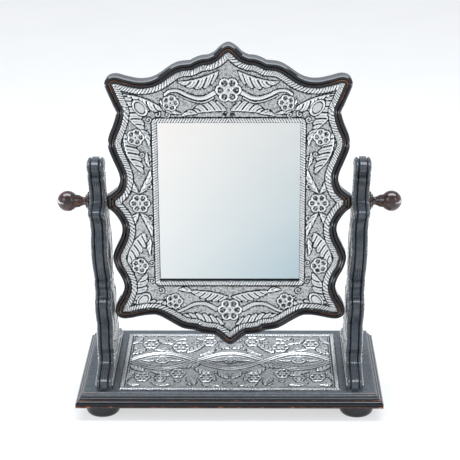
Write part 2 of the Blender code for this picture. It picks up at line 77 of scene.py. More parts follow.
class Slot(Enum):
    """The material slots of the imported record."""

    LACQUER = "black_lacquer"
    KNOB = "knob_wood"
    SILVER = "embossed_silver"
    GLASS = "mirror_glass"
    CARD = "packing_card"
    PANEL = "back_panel_wood"
    STEEL = "hardware_steel"
    BRASS = "hardware_brass"
    LEATHER = "washer_leather"


# ---------------------------------------------------------------------------- numbers and curves


def smoothstep(low: float, high: float, value: Array) -> Array:
    """A smooth ramp: 0 below low, 1 above high, and 3t^2 - 2t^3 between.

    Args:
        low: where the ramp starts.
        high: where it ends.
        value: the numbers to put through it.

    Returns:
        The ramp's values, from 0 to 1.
    """
    t = np.clip((value - low) / (high - low), 0.0, 1.0)
    return t * t * (3.0 - 2.0 * t)


def bell(value: Array, width: float) -> Array:
    """A bell curve of height 1: e to the minus (value / width) squared."""
    return np.exp(-((value / width) ** 2))


def curve_through(knots: Array, steps: int) -> Array:
    """A Catmull-Rom curve, on each span between b and c, with a before it and d after it.

    A point is half of 2b + (c - a)t + (2a - 5b + 4c - d)t^2 + (3b - a - 3c + d)t^3.

    Args:
        knots: (K, D) points that the curve passes through.
        steps: points on each span.

    Returns:
        ((K - 1) * steps, D) points, without the last knot.
    """
    ends = np.vstack([2 * knots[0] - knots[1], knots, 2 * knots[-1] - knots[-2]])
    a, b, c, d = (ends[k:len(ends) - 3 + k, None] for k in range(4))
    t = (np.arange(steps) / steps)[None, :, None]
    spans = 0.5 * (2 * b + (c - a) * t + (2 * a - 5 * b + 4 * c - d) * t**2 + (3 * b - a - 3 * c + d) * t**3)
    return spans.reshape(-1, knots.shape[1])


def evenly(points: Array, spacing: float) -> Array:
    """An open line's points set at equal distances along it, both ends kept.

    Args:
        points: (N, D) points of the line.
        spacing: the distance wanted between neighbours.

    Returns:
        (M, D) points.
    """
    length = np.concatenate([[0.0], np.cumsum(np.linalg.norm(np.diff(points, axis=0), axis=1))])
    count = max(2, round(length[-1] / spacing) + 1)
    at = np.linspace(0.0, length[-1], count)
    return np.stack([np.interp(at, length, points[:, k]) for k in range(points.shape[1])], axis=1)


@dataclass(frozen=True)
class Outline:
    """A closed outline with, at each point, the way in and how far in a moulding may follow it.

    Fields: points (N, 2) in mm; inward (N, 2), lengthened at corners so that both sides move in by
    one; room (N,), the radius of the largest circle inside that touches the outline there.
    """

    points: Array
    inward: Array
    room: Array
    CORNER_TURN: ClassVar[float] = 0.22  # radians: a sharper outward turn is a mitre, with no circle in it
    PART: ClassVar[int] = 20000  # places measured at a time, to bound the memory used

    @classmethod
    def from_half(cls, half: Sequence[tuple], across_middle: bool, spacing: float) -> "Outline":
        """The outline whose right half is given from top to bottom; the left half mirrors it.

        Args:
            half: (across, up) or (across, up, True) where the line has a corner.
            across_middle: the line stays round where it crosses the middle.
            spacing: distance between the points made.

        Returns:
            The closed outline, clockwise.
        """
        right = np.array([knot[:2] for knot in half], float)
        corner = np.array([len(knot) > 2 for knot in half])
        if across_middle:
            left, left_corner = right[-2:0:-1], corner[-2:0:-1]
        else:
            left, left_corner = right[-1:0:-1], corner[-1:0:-1]
            corner = corner.copy()
            corner[-1] = True
            left_corner = np.concatenate([[True], left_corner[1:]])
        points = np.vstack([right, left * [-1.0, 1.0]])
        corner = np.concatenate([corner, left_corner])
        first = int(np.argmax(corner))
        points = np.vstack([np.roll(points, -first, axis=0), points[first]])
        breaks = np.flatnonzero(np.append(np.roll(corner, -first), True))
        runs = []
        for start, end in zip(breaks[:-1], breaks[1:]):
            knots = points[start:end + 1]
            dense = np.vstack([curve_through(knots, 12), knots[-1]]) if len(knots) > 2 else knots
            runs.append(evenly(dense, spacing)[:-1])
        return cls.of(np.vstack(runs))

    @classmethod
    def of(cls, points: Array) -> "Outline":
        """The outline through ready points, with its inward normals and room worked out.

        The room at a point p with normal n is the least of |q - p|^2 / (2 n.(q - p)) over the other
        points q that lie inwards: the circle that touches p and passes through q.
        """
        before = points - np.roll(points, 1, axis=0)
        after = np.roll(before, -1, axis=0)
        before = before / np.linalg.norm(before, axis=1)[:, None]
        after = after / np.linalg.norm(after, axis=1)[:, None]
        nxt = np.roll(points, -1, axis=0)
        way = np.sign(np.sum(points[:, 0] * nxt[:, 1] - nxt[:, 0] * points[:, 1]))
        middle = before + after
        middle /= np.linalg.norm(middle, axis=1)[:, None]
        unit = np.stack([-middle[:, 1], middle[:, 0]], axis=1) * way
        lean = np.clip(np.sum(middle * after, axis=1), 0.45, 1.0)
        cross = before[:, 0] * after[:, 1] - before[:, 1] * after[:, 0]
        turn = np.arctan2(cross, np.sum(before * after, axis=1))
        apart = points[None] - points[:, None]
        inwards = np.einsum("ijk,ik->ij", apart, unit)
        squared = np.sum(apart**2, axis=2)
        radius = np.where(inwards > 1e-6, squared / np.maximum(2 * inwards, 1e-9), np.inf)
        room = np.where(turn * way > cls.CORNER_TURN, np.inf, radius.min(axis=1))
        return cls(points, unit / lean[:, None], room)

    def moved_in(self, depth: Array) -> Array:
        """The outline at several depths: point + inward normal x the lesser of depth and room.

        Args:
            depth: (K,) distances inwards.

        Returns:
            (K, N, 2) points.
        """
        reach = np.minimum(depth[:, None], self.room[None])
        return self.points[None] + self.inward[None] * reach[..., None]

    def tightness(self) -> Array:
        """How sharply the outline bulges at each point: 1 at tips and 0 on hollows, averaged along it."""
        value = 1.0 - smoothstep(5.0, 40.0, np.minimum(self.room, 60.0))
        for shift in (1, 2, 4):
            value = (value + np.roll(value, shift) + np.roll(value, -shift)) / 3.0
        return value

    def nearest(self, at: Array) -> tuple[Array, Array]:
        """Signed distance from places to the outline, and how far along it the nearest point is.

        The distance is to the straight piece next to the nearest point, positive inside.

        Args:
            at: (rows, columns, 2) places.

        Returns:
            The distances and the lengths along the outline, in mm, both (rows, columns).
        """
        shape, at = at.shape[:-1], at.reshape(-1, 2)
        points = self.points
        run = np.roll(points, -1, axis=0) - points
        step = np.linalg.norm(run, axis=1)
        start = np.concatenate([[0.0], np.cumsum(step)[:-1]])
        unit = self.inward / np.linalg.norm(self.inward, axis=1)[:, None]
        distance, along = np.empty(len(at)), np.empty(len(at))
        for low in range(0, len(at), self.PART):
            these = slice(low, low + self.PART)
            part = at[these]
            squared = np.sum(part**2, 1)[:, None] + np.sum(points**2, 1)[None] - 2 * part @ points.T
            near = squared.argmin(axis=1)
            offset = part - points[near]
            t = np.sum(offset * run[near], axis=1) / step[near]
            across = np.sum(offset * unit[near], axis=1)
            flat = np.abs(t) < 0.6 * step[near]
            size = np.where(flat, np.abs(across), np.linalg.norm(offset, axis=1))
            distance[these] = np.where(across >= 0, size, -size)
            along[these] = start[near] + t
        return distance.reshape(shape), along.reshape(shape)


# ---------------------------------------------------------------------------- meshes


def grid_quads(rows: int, columns: int, wrap_rows: bool = False, wrap_columns: bool = False) -> Array:
    """The corners of every cell of a grid of points numbered row by row.

    Args:
        rows: rows of points.
        columns: points in a row.
        wrap_rows: the last row joins the first.
        wrap_columns: a row's last point joins its first.

    Returns:
        (cells, 4) point numbers.
    """
    r, c = np.meshgrid(np.arange(rows if wrap_rows else rows - 1),
                       np.arange(columns if wrap_columns else columns - 1), indexing="ij")
    r2, c2 = (r + 1) % rows, (c + 1) % columns
    cells = np.stack([r * columns + c, r * columns + c2, r2 * columns + c2, r2 * columns + c], axis=-1)
    return cells.reshape(-1, 4)


def filled(*loops: Array) -> list[tuple[int, ...]]:
    """Triangles that fill a flat loop, less the loops inside it, numbered through all of them."""
    return list(tessellate_polygon([[Vector(point) for point in loop.tolist()] for loop in loops]))


def shifted(faces: Sequence[Sequence[int]], start: int) -> list[tuple[int, ...]]:
    """Faces with their point numbers moved up by start."""
    return [tuple(index + start for index in face) for face in faces]


@dataclass
class Piece:
    """A mesh being put together: points in mm, faces, and one value for each point by name."""

    name: str
    points: list[Array] = field(default_factory=list)
    faces: list[tuple[int, ...]] = field(default_factory=list)
    values: dict[str, list[Array]] = field(default_factory=dict)

    def count(self) -> int:
        """How many points it has so far."""
        return sum(len(part) for part in self.points)

    def add(self, points: Array, faces: Sequence[Sequence[int]], **values: Array) -> int:
        """Adds points with faces numbered from 0, and returns the number of its first point."""
        start = self.count()
        self.points.append(points.reshape(-1, 3))
        self.faces += shifted(faces, start)
        for name, value in values.items():
            self.values.setdefault(name, []).append(np.broadcast_to(value, points.shape[:-1]).ravel())
        return start

    def finish(self, material: bpy.types.Material, body: Body, slot: Slot, replaces: Sequence[str] = (),
               sharp: float = 40.0) -> bpy.types.Object:
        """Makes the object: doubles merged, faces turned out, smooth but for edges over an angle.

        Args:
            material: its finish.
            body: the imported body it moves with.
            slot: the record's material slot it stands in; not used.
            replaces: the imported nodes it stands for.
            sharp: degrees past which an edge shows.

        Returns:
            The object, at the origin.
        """
        mesh = bpy.data.meshes.new(self.name)
        mesh.from_pydata(np.vstack(self.points) * MM, [], self.faces)
        for name, parts in self.values.items():
            attribute = mesh.attributes.new(name, "FLOAT", "POINT")
            attribute.data.foreach_set("value", np.concatenate(parts).astype(np.float32))
        shape = bmesh.new()
        shape.from_mesh(mesh)
        bmesh.ops.remove_doubles(shape, verts=shape.verts, dist=0.002 * MM)
        bmesh.ops.dissolve_degenerate(shape, edges=shape.edges, dist=0.001 * MM)
        bmesh.ops.recalc_face_normals(shape, faces=shape.faces)
        shape.to_mesh(mesh)
        shape.free()
        mesh.materials.append(material)
        mesh.shade_smooth()
        mesh.set_sharp_from_angle(angle=math.radians(sharp))
        made = bpy.data.objects.new(self.name, mesh)
        bpy.context.scene.collection.objects.link(made)
        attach(made, body.value)
        if replaces:
            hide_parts(*replaces)
        log.info("%s: %d faces on %s", self.name, len(mesh.polygons), body.value)
        return made


# ---------------------------------------------------------------------------- finishes


class Nodes:
    """A material's node tree, with short ways to add and join its nodes."""

    def __init__(self, name: str) -> None:
        """Starts a material with a Principled shader in it."""
        self.material = bpy.data.materials.new(name)
        self.material.use_nodes = True
        self.tree = self.material.node_tree
        self.shader = self.tree.nodes["Principled BSDF"]
        self.place = self.add("ShaderNodeTexCoord").outputs["Object"]

    def add(self, kind: str, **settings) -> bpy.types.Node:
        """A new node with its plain settings."""
        node = self.tree.nodes.new(kind)
        for key, value in settings.items():
            setattr(node, key, value)
        return node

    def feed(self, socket: Socket, value: Fed) -> None:
        """Joins an output to a socket, or sets the socket's own value."""
        if isinstance(value, Socket):
            self.tree.links.new(value, socket)
        else:
            socket.default_value = value

    def value(self, name: str) -> Socket:
        """The piece's own value of that name."""
        return self.add("ShaderNodeAttribute", attribute_name=name).outputs["Fac"]

    def maths(self, operation: str, a: Fed, b: Fed = 0.0, clamp: bool = False) -> Socket:
        """One Math node."""
        node = self.add("ShaderNodeMath", operation=operation, use_clamp=clamp)
        self.feed(node.inputs[0], a)
        self.feed(node.inputs[1], b)
        return node.outputs[0]

    def noise(self, scale: float, detail: float = 3.0, stretch: tuple = (1.0, 1.0, 1.0),
              roughness: float = 0.5) -> Socket:
        """Fractal noise at scale per metre, its pattern stretched along an axis by a small factor there."""
        mapping = self.add("ShaderNodeMapping")
        self.feed(mapping.inputs["Vector"], self.place)
        mapping.inputs["Scale"].default_value = stretch
        node = self.add("ShaderNodeTexNoise")
        self.feed(node.inputs["Vector"], mapping.outputs["Vector"])
        node.inputs["Scale"].default_value = scale
        node.inputs["Detail"].default_value = detail
        node.inputs["Roughness"].default_value = roughness
        return node.outputs["Fac"]

    def ramp(self, value: Fed, stops: Sequence[tuple[float, tuple]]) -> Socket:
        """A colour ramp through (place, colour) stops."""
        node = self.add("ShaderNodeValToRGB")
        self.feed(node.inputs["Fac"], value)
        elements = node.color_ramp.elements
        while len(elements) < len(stops):
            elements.new(0.5)
        for element, (at, colour) in zip(elements, stops):
            element.position = at
            element.color = (*colour, 1.0)
        return node.outputs["Color"]

    def span(self, value: Fed, low: float, high: float, to_low: float, to_high: float) -> Socket:
        """A value mapped from one range to another, held at its ends."""
        node = self.add("ShaderNodeMapRange")
        ends = {"From Min": low, "From Max": high, "To Min": to_low, "To Max": to_high}
        for name, number in ends.items():
            node.inputs[name].default_value = number
        self.feed(node.inputs["Value"], value)
        return node.outputs["Result"]

    def blend(self, share: Socket, low: Fed, high: Fed) -> Socket:
        """A mix of two colours."""
        node = self.add("ShaderNodeMix", data_type="RGBA")
        self.feed(node.inputs["Factor"], share)
        ends = [socket for socket in node.inputs if socket.type == "RGBA"]
        for socket, colour in zip(ends, (low, high)):
            self.feed(socket, colour if isinstance(colour, Socket) else (*colour, 1.0))
        return next(socket for socket in node.outputs if socket.type == "RGBA")

    def bump(self, height: Socket, strength: float, distance: float) -> None:
        """Fine relief on the shader's normal."""
        node = self.add("ShaderNodeBump")
        node.inputs["Strength"].default_value = strength
        node.inputs["Distance"].default_value = distance
        self.feed(node.inputs["Height"], height)
        self.feed(self.shader.inputs["Normal"], node.outputs["Normal"])

    def set(self, **values) -> None:
        """Sets shader sockets by name, underscores for spaces."""
        for name, value in values.items():
            self.feed(self.shader.inputs[name.replace("_", " ")], value)


@dataclass(frozen=True)
class Lacquer:
    """Black gloss lacquer, rubbed through to red-brown wood where a piece's wear value is high."""

    name: str = "black_lacquer"
    black: tuple = (0.004, 0.0045, 0.006)
    undercoat: tuple = (0.045, 0.013, 0.006)
    bare: tuple = (0.36, 0.13, 0.05)
    worn: bool = True

    def material(self) -> bpy.types.Material:
        """The wear value and two noises say where the undercoat and the bare wood show."""
        nodes = Nodes(self.name)
        film = nodes.noise(160.0, 4.0)
        colour = nodes.ramp(film, ((0.3, self.black), (0.75, tuple(1.8 * c for c in self.black))))
        rough = nodes.span(nodes.noise(60.0, 5.0), 0.3, 0.75, 0.10, 0.24)
        if self.worn:
            wear = nodes.value("wear")
            streaks = nodes.noise(520.0, 5.0, (0.35, 0.35, 1.0), 0.65)
            patches = nodes.noise(95.0, 3.0)
            streaks, patches = nodes.maths("MULTIPLY", streaks, 0.55), nodes.maths("MULTIPLY", patches, 0.75)
            mixed = nodes.maths("ADD", streaks, patches)
            shown = nodes.maths("SUBTRACT", nodes.maths("ADD", wear, mixed), 1.0)
            brown = nodes.span(shown, 0.10, 0.34, 0.0, 1.0)
            wood = nodes.span(shown, 0.34, 0.56, 0.0, 1.0)
            colour = nodes.blend(brown, colour, self.undercoat)
            colour = nodes.blend(wood, colour, self.bare)
            rough = nodes.maths("ADD", rough, nodes.maths("MULTIPLY", wood, 0.28))
        nodes.set(Base_Color=colour, Roughness=rough, Coat_Weight=0.2, Coat_Roughness=0.05,
                  Specular_IOR_Level=0.4)
        nodes.bump(nodes.noise(240.0, 4.0), 0.05, 0.0006)
        return nodes.material


@dataclass(frozen=True)
class TurnedWood:
    """Dark red-brown turned wood under gloss, its grain run out along X with rings round it."""

    name: str = "knob_wood"
    dark: tuple = (0.006, 0.003, 0.0025)
    light: tuple = (0.045, 0.013, 0.008)

    def material(self) -> bpy.types.Material:
        """Grain from stretched noise, wear from a patchy one."""
        nodes = Nodes(self.name)
        grain = nodes.noise(420.0, 6.0, (0.12, 1.0, 1.0), 0.6)
        patches = nodes.noise(120.0, 3.0)
        mixed = nodes.maths("ADD", nodes.maths("MULTIPLY", grain, 0.6), nodes.maths("MULTIPLY", patches, 0.5))
        colour = nodes.ramp(mixed, ((0.40, self.dark), (0.62, self.light), (0.80, (0.19, 0.062, 0.027))))
        nodes.set(Base_Color=colour, Roughness=nodes.span(patches, 0.3, 0.7, 0.16, 0.3), Coat_Weight=0.5,
                  Coat_Roughness=0.08)
        nodes.bump(grain, 0.12, 0.0004)
        return nodes.material


@dataclass(frozen=True)
class EmbossedSilver:
    """Silver sheet, bright on its crests and dark in its chased lines, by a piece's tone value."""

    name: str = "embossed_silver"
    stipple_scale: float = 560.0
    stipple_depth: float = 0.42

    def material(self) -> bpy.types.Material:
        """Tone from the relief, with a fine punched ground and a little tarnish."""
        nodes = Nodes(self.name)
        tone = nodes.value("tone")
        punched = nodes.add("ShaderNodeTexVoronoi", feature="F1")
        nodes.feed(punched.inputs["Vector"], nodes.place)
        punched.inputs["Scale"].default_value = self.stipple_scale
        dots = nodes.span(punched.outputs["Distance"], 0.15, 0.75, 1.0, 0.0)
        ground = nodes.span(tone, 0.42, 0.66, 1.0, 0.12)
        depth = nodes.maths("MULTIPLY", ground, self.stipple_depth)
        speckle = nodes.maths("MULTIPLY", nodes.maths("SUBTRACT", dots, 0.5), depth)
        tarnish = nodes.maths("MULTIPLY", nodes.maths("SUBTRACT", nodes.noise(55.0, 4.0), 0.5), 0.16)
        shade = nodes.maths("ADD", tone, nodes.maths("ADD", speckle, tarnish), clamp=True)
        colour = nodes.ramp(shade, ((0.0, (0.008, 0.009, 0.012)), (0.25, (0.07, 0.074, 0.08)),
                                    (0.45, (0.45, 0.45, 0.445)), (0.68, (0.74, 0.74, 0.73)),
                                    (1.0, (0.95, 0.95, 0.94))))
        rough = nodes.span(shade, 0.1, 0.9, 0.5, 0.26)
        nodes.set(Base_Color=colour, Metallic=0.88, Roughness=rough)
        nodes.bump(nodes.maths("MULTIPLY", dots, ground), 0.5, 0.0005)
        return nodes.material


@dataclass(frozen=True)
class SilveredGlass:
    """Mirror glass: a sharp reflection under a painted reflection, a tint that deepens to the right and downwards
    and moves with the glass when it tilts.
    """

    name: str = "mirror_glass"
    clear: tuple = (0.94, 0.90, 0.86)
    # painted reflection: the cool grey-blue the glass is given towards its lower right, in place of its
    # surroundings' reflection
    painted_reflection_tint: tuple = (0.385, 0.49, 0.525)
    painted_reflection_right: float = 0.38
    painted_reflection_down: float = 0.44
    painted_reflection_corner: float = 0.18

    def material(self) -> bpy.types.Material:
        """The painted reflection is a weighted sum of right, down and right x down, and faint smears roughen it.
        """
        nodes = Nodes(self.name)
        low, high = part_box("mirror_glass")
        axes = nodes.add("ShaderNodeSeparateXYZ")
        nodes.feed(axes.inputs[0], nodes.place)
        right = nodes.span(axes.outputs["X"], low.x, high.x, 0.0, 1.0)
        down = nodes.span(axes.outputs["Z"], high.z, low.z, 0.0, 1.0)
        # painted reflection: how much of the cool tint each place of the glass takes
        corner = nodes.maths("MULTIPLY", nodes.maths("MULTIPLY", right, down), self.painted_reflection_corner)
        right = nodes.maths("MULTIPLY", right, self.painted_reflection_right)
        down = nodes.maths("MULTIPLY", down, self.painted_reflection_down)
        share = nodes.maths("ADD", nodes.maths("ADD", right, down), corner, clamp=True)
        colour = nodes.blend(share, self.clear, self.painted_reflection_tint)
        nodes.set(Base_Color=colour, Metallic=1.0,
                  Roughness=nodes.span(nodes.noise(18.0, 5.0), 0.35, 0.75, 0.02, 0.06))
        return nodes.material


@dataclass(frozen=True)
class Stock:
    """A plain stock material: two tones mixed by a stretched noise, with fine bump."""

    name: str
    dark: tuple
    light: tuple
    roughness: float
    metallic: float = 0.0
    scale: float = 400.0
    stretch: tuple = (1.0, 1.0, 1.0)
    relief: float = 0.15

    def material(self) -> bpy.types.Material:
        """Noise gives the tone, the roughness and the bump."""
        nodes = Nodes(self.name)
        grain = nodes.noise(self.scale, 5.0, self.stretch, 0.6)
        colour = nodes.ramp(grain, ((0.3, self.dark), (0.72, self.light)))
        rough = nodes.span(grain, 0.3, 0.7, self.roughness * 0.85, min(1.0, self.roughness * 1.2))
        nodes.set(Base_Color=colour, Metallic=self.metallic, Roughness=rough)
        nodes.bump(grain, self.relief, 0.0003)
        return nodes.material


# ---------------------------------------------------------------------------- embossing


class Relief:
    """A height field in mm on a flat grid, on which leaves, rosettes and borders are raised.

    The line field holds how deeply each place is chased, from 0 to 1, and line_depth is in mm.
    """

    line_depth: float = 0.45
    stem_span: float = 2.0

    def __init__(self, across: Array, up: Array, mirrored: bool) -> None:
        """Starts a flat field on the grid of across and up; a mirrored one draws both halves alike."""
        self.across, self.up = across, up
        u, v = np.meshgrid(across, up)
        self.u, self.v = (np.abs(u) if mirrored else u), v
        self.height = np.zeros_like(u)
        self.line = np.zeros_like(u)

    def raise_to(self, value: Array) -> None:
        """Lifts the field to value where it is lower."""
        self.height = np.maximum(self.height, value)

    def chase(self, value: Array) -> None:
        """Sinks a chased line, whose depth is value from 0 to 1."""
        self.line = np.maximum(self.line, value)

    def clear(self, inside: Array) -> None:
        """Smooths away what lies under a piece of ornament that goes on top."""
        self.height = np.where(inside, 0.0, self.height)
        self.line = np.where(inside, 0.0, self.line)

    def frond(self, base: tuple, tip: tuple, left: float, right: float, lobes: float, bend: float = 0.0,
              height: float = 1.35) -> None:
        """An acanthus leaf along a bowed spine, its lobes swept forwards, each with a raised rim.

        With t the share of the way along and q the distance from the spine over the leaf's reach there,
        width x sin(pi t^0.8)^0.7, a lobe's phase is lobes t - 1.1 q^1.3: the grooves lie at half phases,
        the rims at quarters, and the edge is scalloped to the same phase.

        Args:
            base: where its stem starts.
            tip: where it ends.
            left: width on the left of the spine.
            right: width on the right.
            lobes: lobes along it.
            bend: how far the spine bows to the left.
            height: of its crests.
        """
        start, run = np.array(base), np.array(tip) - np.array(base)
        length = float(np.hypot(*run))
        du, dv = self.u - start[0], self.v - start[1]
        t = (du * run[0] + dv * run[1]) / length**2
        s = (dv * run[0] - du * run[1]) / length - 4.0 * bend * t * (1.0 - t)
        held = np.clip(t, 0.0, 1.0)
        swell = np.sin(math.pi * held**0.8) ** 0.7
        reach = np.maximum(np.where(s > 0, left, right) * swell, 0.5)
        q = np.abs(s) / reach
        phase = 2.0 * math.pi * (lobes * t - 1.1 * np.minimum(q, 1.2) ** 1.3)
        lobe = 0.5 + 0.5 * np.cos(phase)
        edge = 0.80 + 0.20 * lobe**0.7
        inside = (t > 0.0) & (t < 1.0) & (q < edge)
        rims = np.sin(phase) ** 2
        crest = 0.34 + 0.66 * np.where(reach > 4.0, rims, lobe)
        dome = np.clip(1.0 - (q / edge) ** 6, 0.0, 1.0)
        spine = bell(s, 0.8)
        near = (t > -0.03) & (t < 1.03) & (q < edge + 1.6 / reach)
        self.clear(near)
        self.raise_to(height * np.where(inside, np.maximum(np.maximum(crest * dome, spine),
                                                           0.9 * bell((edge - q) * reach - 0.9, 0.6)), 0.0))
        outside = (q - edge) * reach
        self.chase(np.where(near, 0.95 * bell(outside - 0.55, 0.5), 0.0))
        self.chase(np.where(inside, 0.85 * (1.0 - lobe) ** 4 * (1.0 - spine), 0.0))

    def rosette(self, centre: tuple, radius: float, petals: int = 6, turn: float = 0.0,
                height: float = 1.6, stretch: float = 1.0) -> None:
        """A flower: each petal a ribbed hollow with a raised rim, round a ringed heart.

        A petal is a circle of 0.41 radius at 0.61 radius out; its rim is a bell curve of the distance
        from its own centre. Stretch draws the whole flower out upwards.
        """
        du, dv = self.u - centre[0], (self.v - centre[1]) / stretch
        r = np.hypot(du, dv)
        angle = np.arctan2(dv, du) - turn
        sector = 2.0 * math.pi / petals
        local = (angle + sector / 2) % sector - sector / 2
        out, side = r * np.cos(local), r * np.sin(local)
        spread = 0.41 * 6 / petals
        d = np.hypot((out - 0.61 * radius) / 0.40, side / spread) / radius
        heart = r / (0.25 * radius)
        inside = (d < 1.0) | (heart < 1.0)
        near = (r < 0.6 * radius) | (d < 1.0 + 2.4 / radius)
        self.clear(near)
        rim = bell(d - 0.84, 0.16)
        rays = 0.26 * (0.5 + 0.5 * np.cos(12.0 * np.arctan2(side, out - 0.2 * radius)))
        value = np.where(d < 1.0, np.maximum(rim, 0.12 + rays), 0.0)
        value = np.where(heart < 1.0, np.maximum(0.25, bell(heart - 0.8, 0.2)), value)
        self.raise_to(height * np.where(inside, value, 0.0))
        self.chase(np.where(near & ~inside, 0.9, 0.0))
        self.chase(0.7 * bell(heart - 1.15, 0.14) * (r < radius))
        self.chase(np.where((d < 0.6) & (heart > 1.2), 0.30, 0.0))

    def stem(self, knots: Knots, wide: float, narrow: float, height: float = 1.2,
             strokes: float = 0.0) -> None:
        """A raised stem along a smooth line, measured in straight spans, tapering from wide to narrow.

        Its section is the root of 1 - (distance / half width)^2. With strokes it is cut across like rope.
        """
        line = evenly(curve_through(np.array(knots, float), 10), self.stem_span)
        count = len(line) - 1
        best = np.full(self.u.shape, np.inf)
        where = np.zeros(self.u.shape)
        for k, (start, end) in enumerate(zip(line[:-1], line[1:])):
            run = end - start
            du, dv = self.u - start[0], self.v - start[1]
            t = np.clip((du * run[0] + dv * run[1]) / (run @ run), 0.0, 1.0)
            d = np.hypot(du - t * run[0], dv - t * run[1])
            closer = d < best
            best = np.where(closer, d, best)
            where = np.where(closer, (k + t) / count, where)
        half = 0.5 * (wide + (narrow - wide) * where)
        self.clear(best < half + 1.1)
        value = np.sqrt(np.clip(1.0 - (best / half) ** 2, 0.0, 1.0))
        if strokes:
            along = where * count * self.stem_span
            value = value * (0.62 + 0.38 * np.cos(2.0 * math.pi * (along + best) / strokes))
        self.raise_to(height * value)
        self.chase(0.85 * bell(best - half - 0.5, 0.45))

    def curl(self, centre: tuple, radius: float, hand: float, start: float, width: float = 1.3,
             turns: float = 1.4, height: float = 1.1) -> None:
        """A spiral: the ridge lies where r falls evenly with the angle from radius to nothing."""
        du, dv = self.u - centre[0], self.v - centre[1]
        r = np.hypot(du, dv)
        angle = (hand * np.arctan2(dv, du) - start) / (2.0 * math.pi) % 1.0
        gap = np.full(r.shape, np.inf)
        for lap in range(math.ceil(turns)):
            wound = angle + lap
            gap = np.where(wound < turns, np.minimum(gap, np.abs(r - radius * (1.0 - wound / turns))), gap)
        self.raise_to(height * bell(gap, 0.5 * width))
        self.chase(0.6 * np.where(r < radius + width, bell(gap - width, 0.4 * width), 0.0))

    def oval(self, centre: tuple, half_long: float, half_wide: float, turn: float,
             height: float = 1.3) -> None:
        """A raised rim round a punched oval ground."""
        du, dv = self.u - centre[0], self.v - centre[1]
        a = (du * math.cos(turn) + dv * math.sin(turn)) / half_long
        b = (dv * math.cos(turn) - du * math.sin(turn)) / half_wide
        r = np.hypot(a, b)
        self.clear(r < 1.12)
        self.raise_to(height * bell((r - 0.92) * half_wide, 0.8))
        self.raise_to(0.35 * height * (r < 0.8))
        self.chase(0.8 * bell((r - 0.74) * half_wide, 0.4) + 0.8 * bell((r - 1.12) * half_wide, 0.4))

    def rope(self, depth: Array, along: Array, start: float, width: float, pitch: float, slant: float,
             height: float = 1.3) -> None:
        """A rope border: a round ridge from start to start + width of depth, cut by slanted strokes.

        The strokes are cos(2 pi (along + slant x depth) / pitch).
        """
        q = (depth - start) / width * 2.0 - 1.0
        inside = np.abs(q) < 1.0
        stroke = 0.5 + 0.5 * np.cos(2.0 * math.pi * (along + slant * (depth - start)) / pitch)
        value = np.sqrt(np.clip(1.0 - q**4, 0.0, 1.0)) * (0.35 + 0.65 * stroke**0.8)
        self.clear((depth > start - 0.9) & (depth < start + width + 0.9))
        self.raise_to(height * np.where(inside, value, 0.0))
        self.chase(np.where(inside, 0.5 * (1.0 - stroke) ** 2, 0.0))
        self.chase(0.95 * bell(depth - start - width - 0.7, 0.55))

    def softened(self, passes: int) -> Array:
        """The surface averaged with its neighbours several times over."""
        value = self.surface()
        for _ in range(passes):
            padded = np.pad(value, 1, mode="edge")
            value = (padded[1:-1, 1:-1] + padded[:-2, 1:-1] + padded[2:, 1:-1] + padded[1:-1, :-2]
                     + padded[1:-1, 2:]) / 5.0
        return value

    def surface(self) -> Array:
        """The height with its chased lines sunk in."""
        return self.height - self.line_depth * self.line

    def tone(self) -> Array:
        """How bright the metal is kept: crests rubbed clean, lines and hollows left dark."""
        hollow = np.clip(self.softened(9) - self.surface(), 0.0, 1.0)
        crest = np.clip(self.height / 1.35, 0.0, 1.0)
        return np.clip(0.50 + 0.46 * crest**1.3 - 0.62 * hollow - 0.62 * self.line, 0.0, 1.0)


def embossed_piece(name: str, relief: Relief, to_world: Callable[[Array, Array, Array], Array], keep: Array,
                   snap: float | None = None) -> Piece:
    """A closed sheet whose front is a relief, its edge drawn onto an outline.

    Args:
        name: the piece's name.
        relief: the height field.
        to_world: turns (across, up, height) arrays into (..., 3) points in mm.
        keep: signed distance inside the sheet at each grid point; cells fully inside are kept.
        snap: how far each edge point may move onto the outline, or None.

    Returns:
        The piece, with its tone.
    """
    step = relief.across[1] - relief.across[0]
    inside = keep > -0.45 * step
    cells = inside[:-1, :-1] & inside[1:, :-1] & inside[:-1, 1:] & inside[1:, 1:]
    rows, columns = keep.shape
    quads = grid_quads(rows, columns)[cells.ravel()]
    used, faces = np.unique(quads, return_inverse=True)
    faces = faces.reshape(quads.shape)
    u, v = np.meshgrid(relief.across, relief.up)
    if snap is not None:
        whole = np.zeros((rows + 1, columns + 1), int)
        whole[1:-1, 1:-1] = cells
        around = whole[:-1, :-1] + whole[1:, :-1] + whole[:-1, 1:] + whole[1:, 1:]
        edge = (around > 0) & (around < 4)
        slope_v, slope_u = np.gradient(keep, step)
        size = np.maximum(np.hypot(slope_u, slope_v), 0.5)
        move = np.where(edge, np.clip(keep, -snap, snap), 0.0)
        u, v = u - move * slope_u / size, v - move * slope_v / size
    height, tone = relief.surface(), relief.tone()
    front = to_world(u.ravel()[used], v.ravel()[used], height.ravel()[used])
    back = to_world(u.ravel()[used], v.ravel()[used], np.full(len(used), -0.5))
    count = np.zeros(len(used), int)
    sides = np.stack([faces, np.roll(faces, -1, axis=1)], axis=-1).reshape(-1, 2)
    key = np.sort(sides, axis=1)
    _, first, times = np.unique(key[:, 0] * len(used) + key[:, 1], return_index=True, return_counts=True)
    rim = sides[first[times == 1]]
    count[rim.ravel()] = 1
    number = np.cumsum(count) - 1
    below = number + len(used)
    skirt = np.stack([rim[:, 1], rim[:, 0], below[rim[:, 0]], below[rim[:, 1]]], axis=1)
    piece = Piece(name)
    piece.add(np.vstack([front, back[count == 1]]), np.vstack([faces, skirt]).tolist(),
              tone=np.concatenate([tone.ravel()[used], np.full(int(count.sum()), 0.25)]))
    return piece


# ---------------------------------------------------------------------------- the mirror and its frame

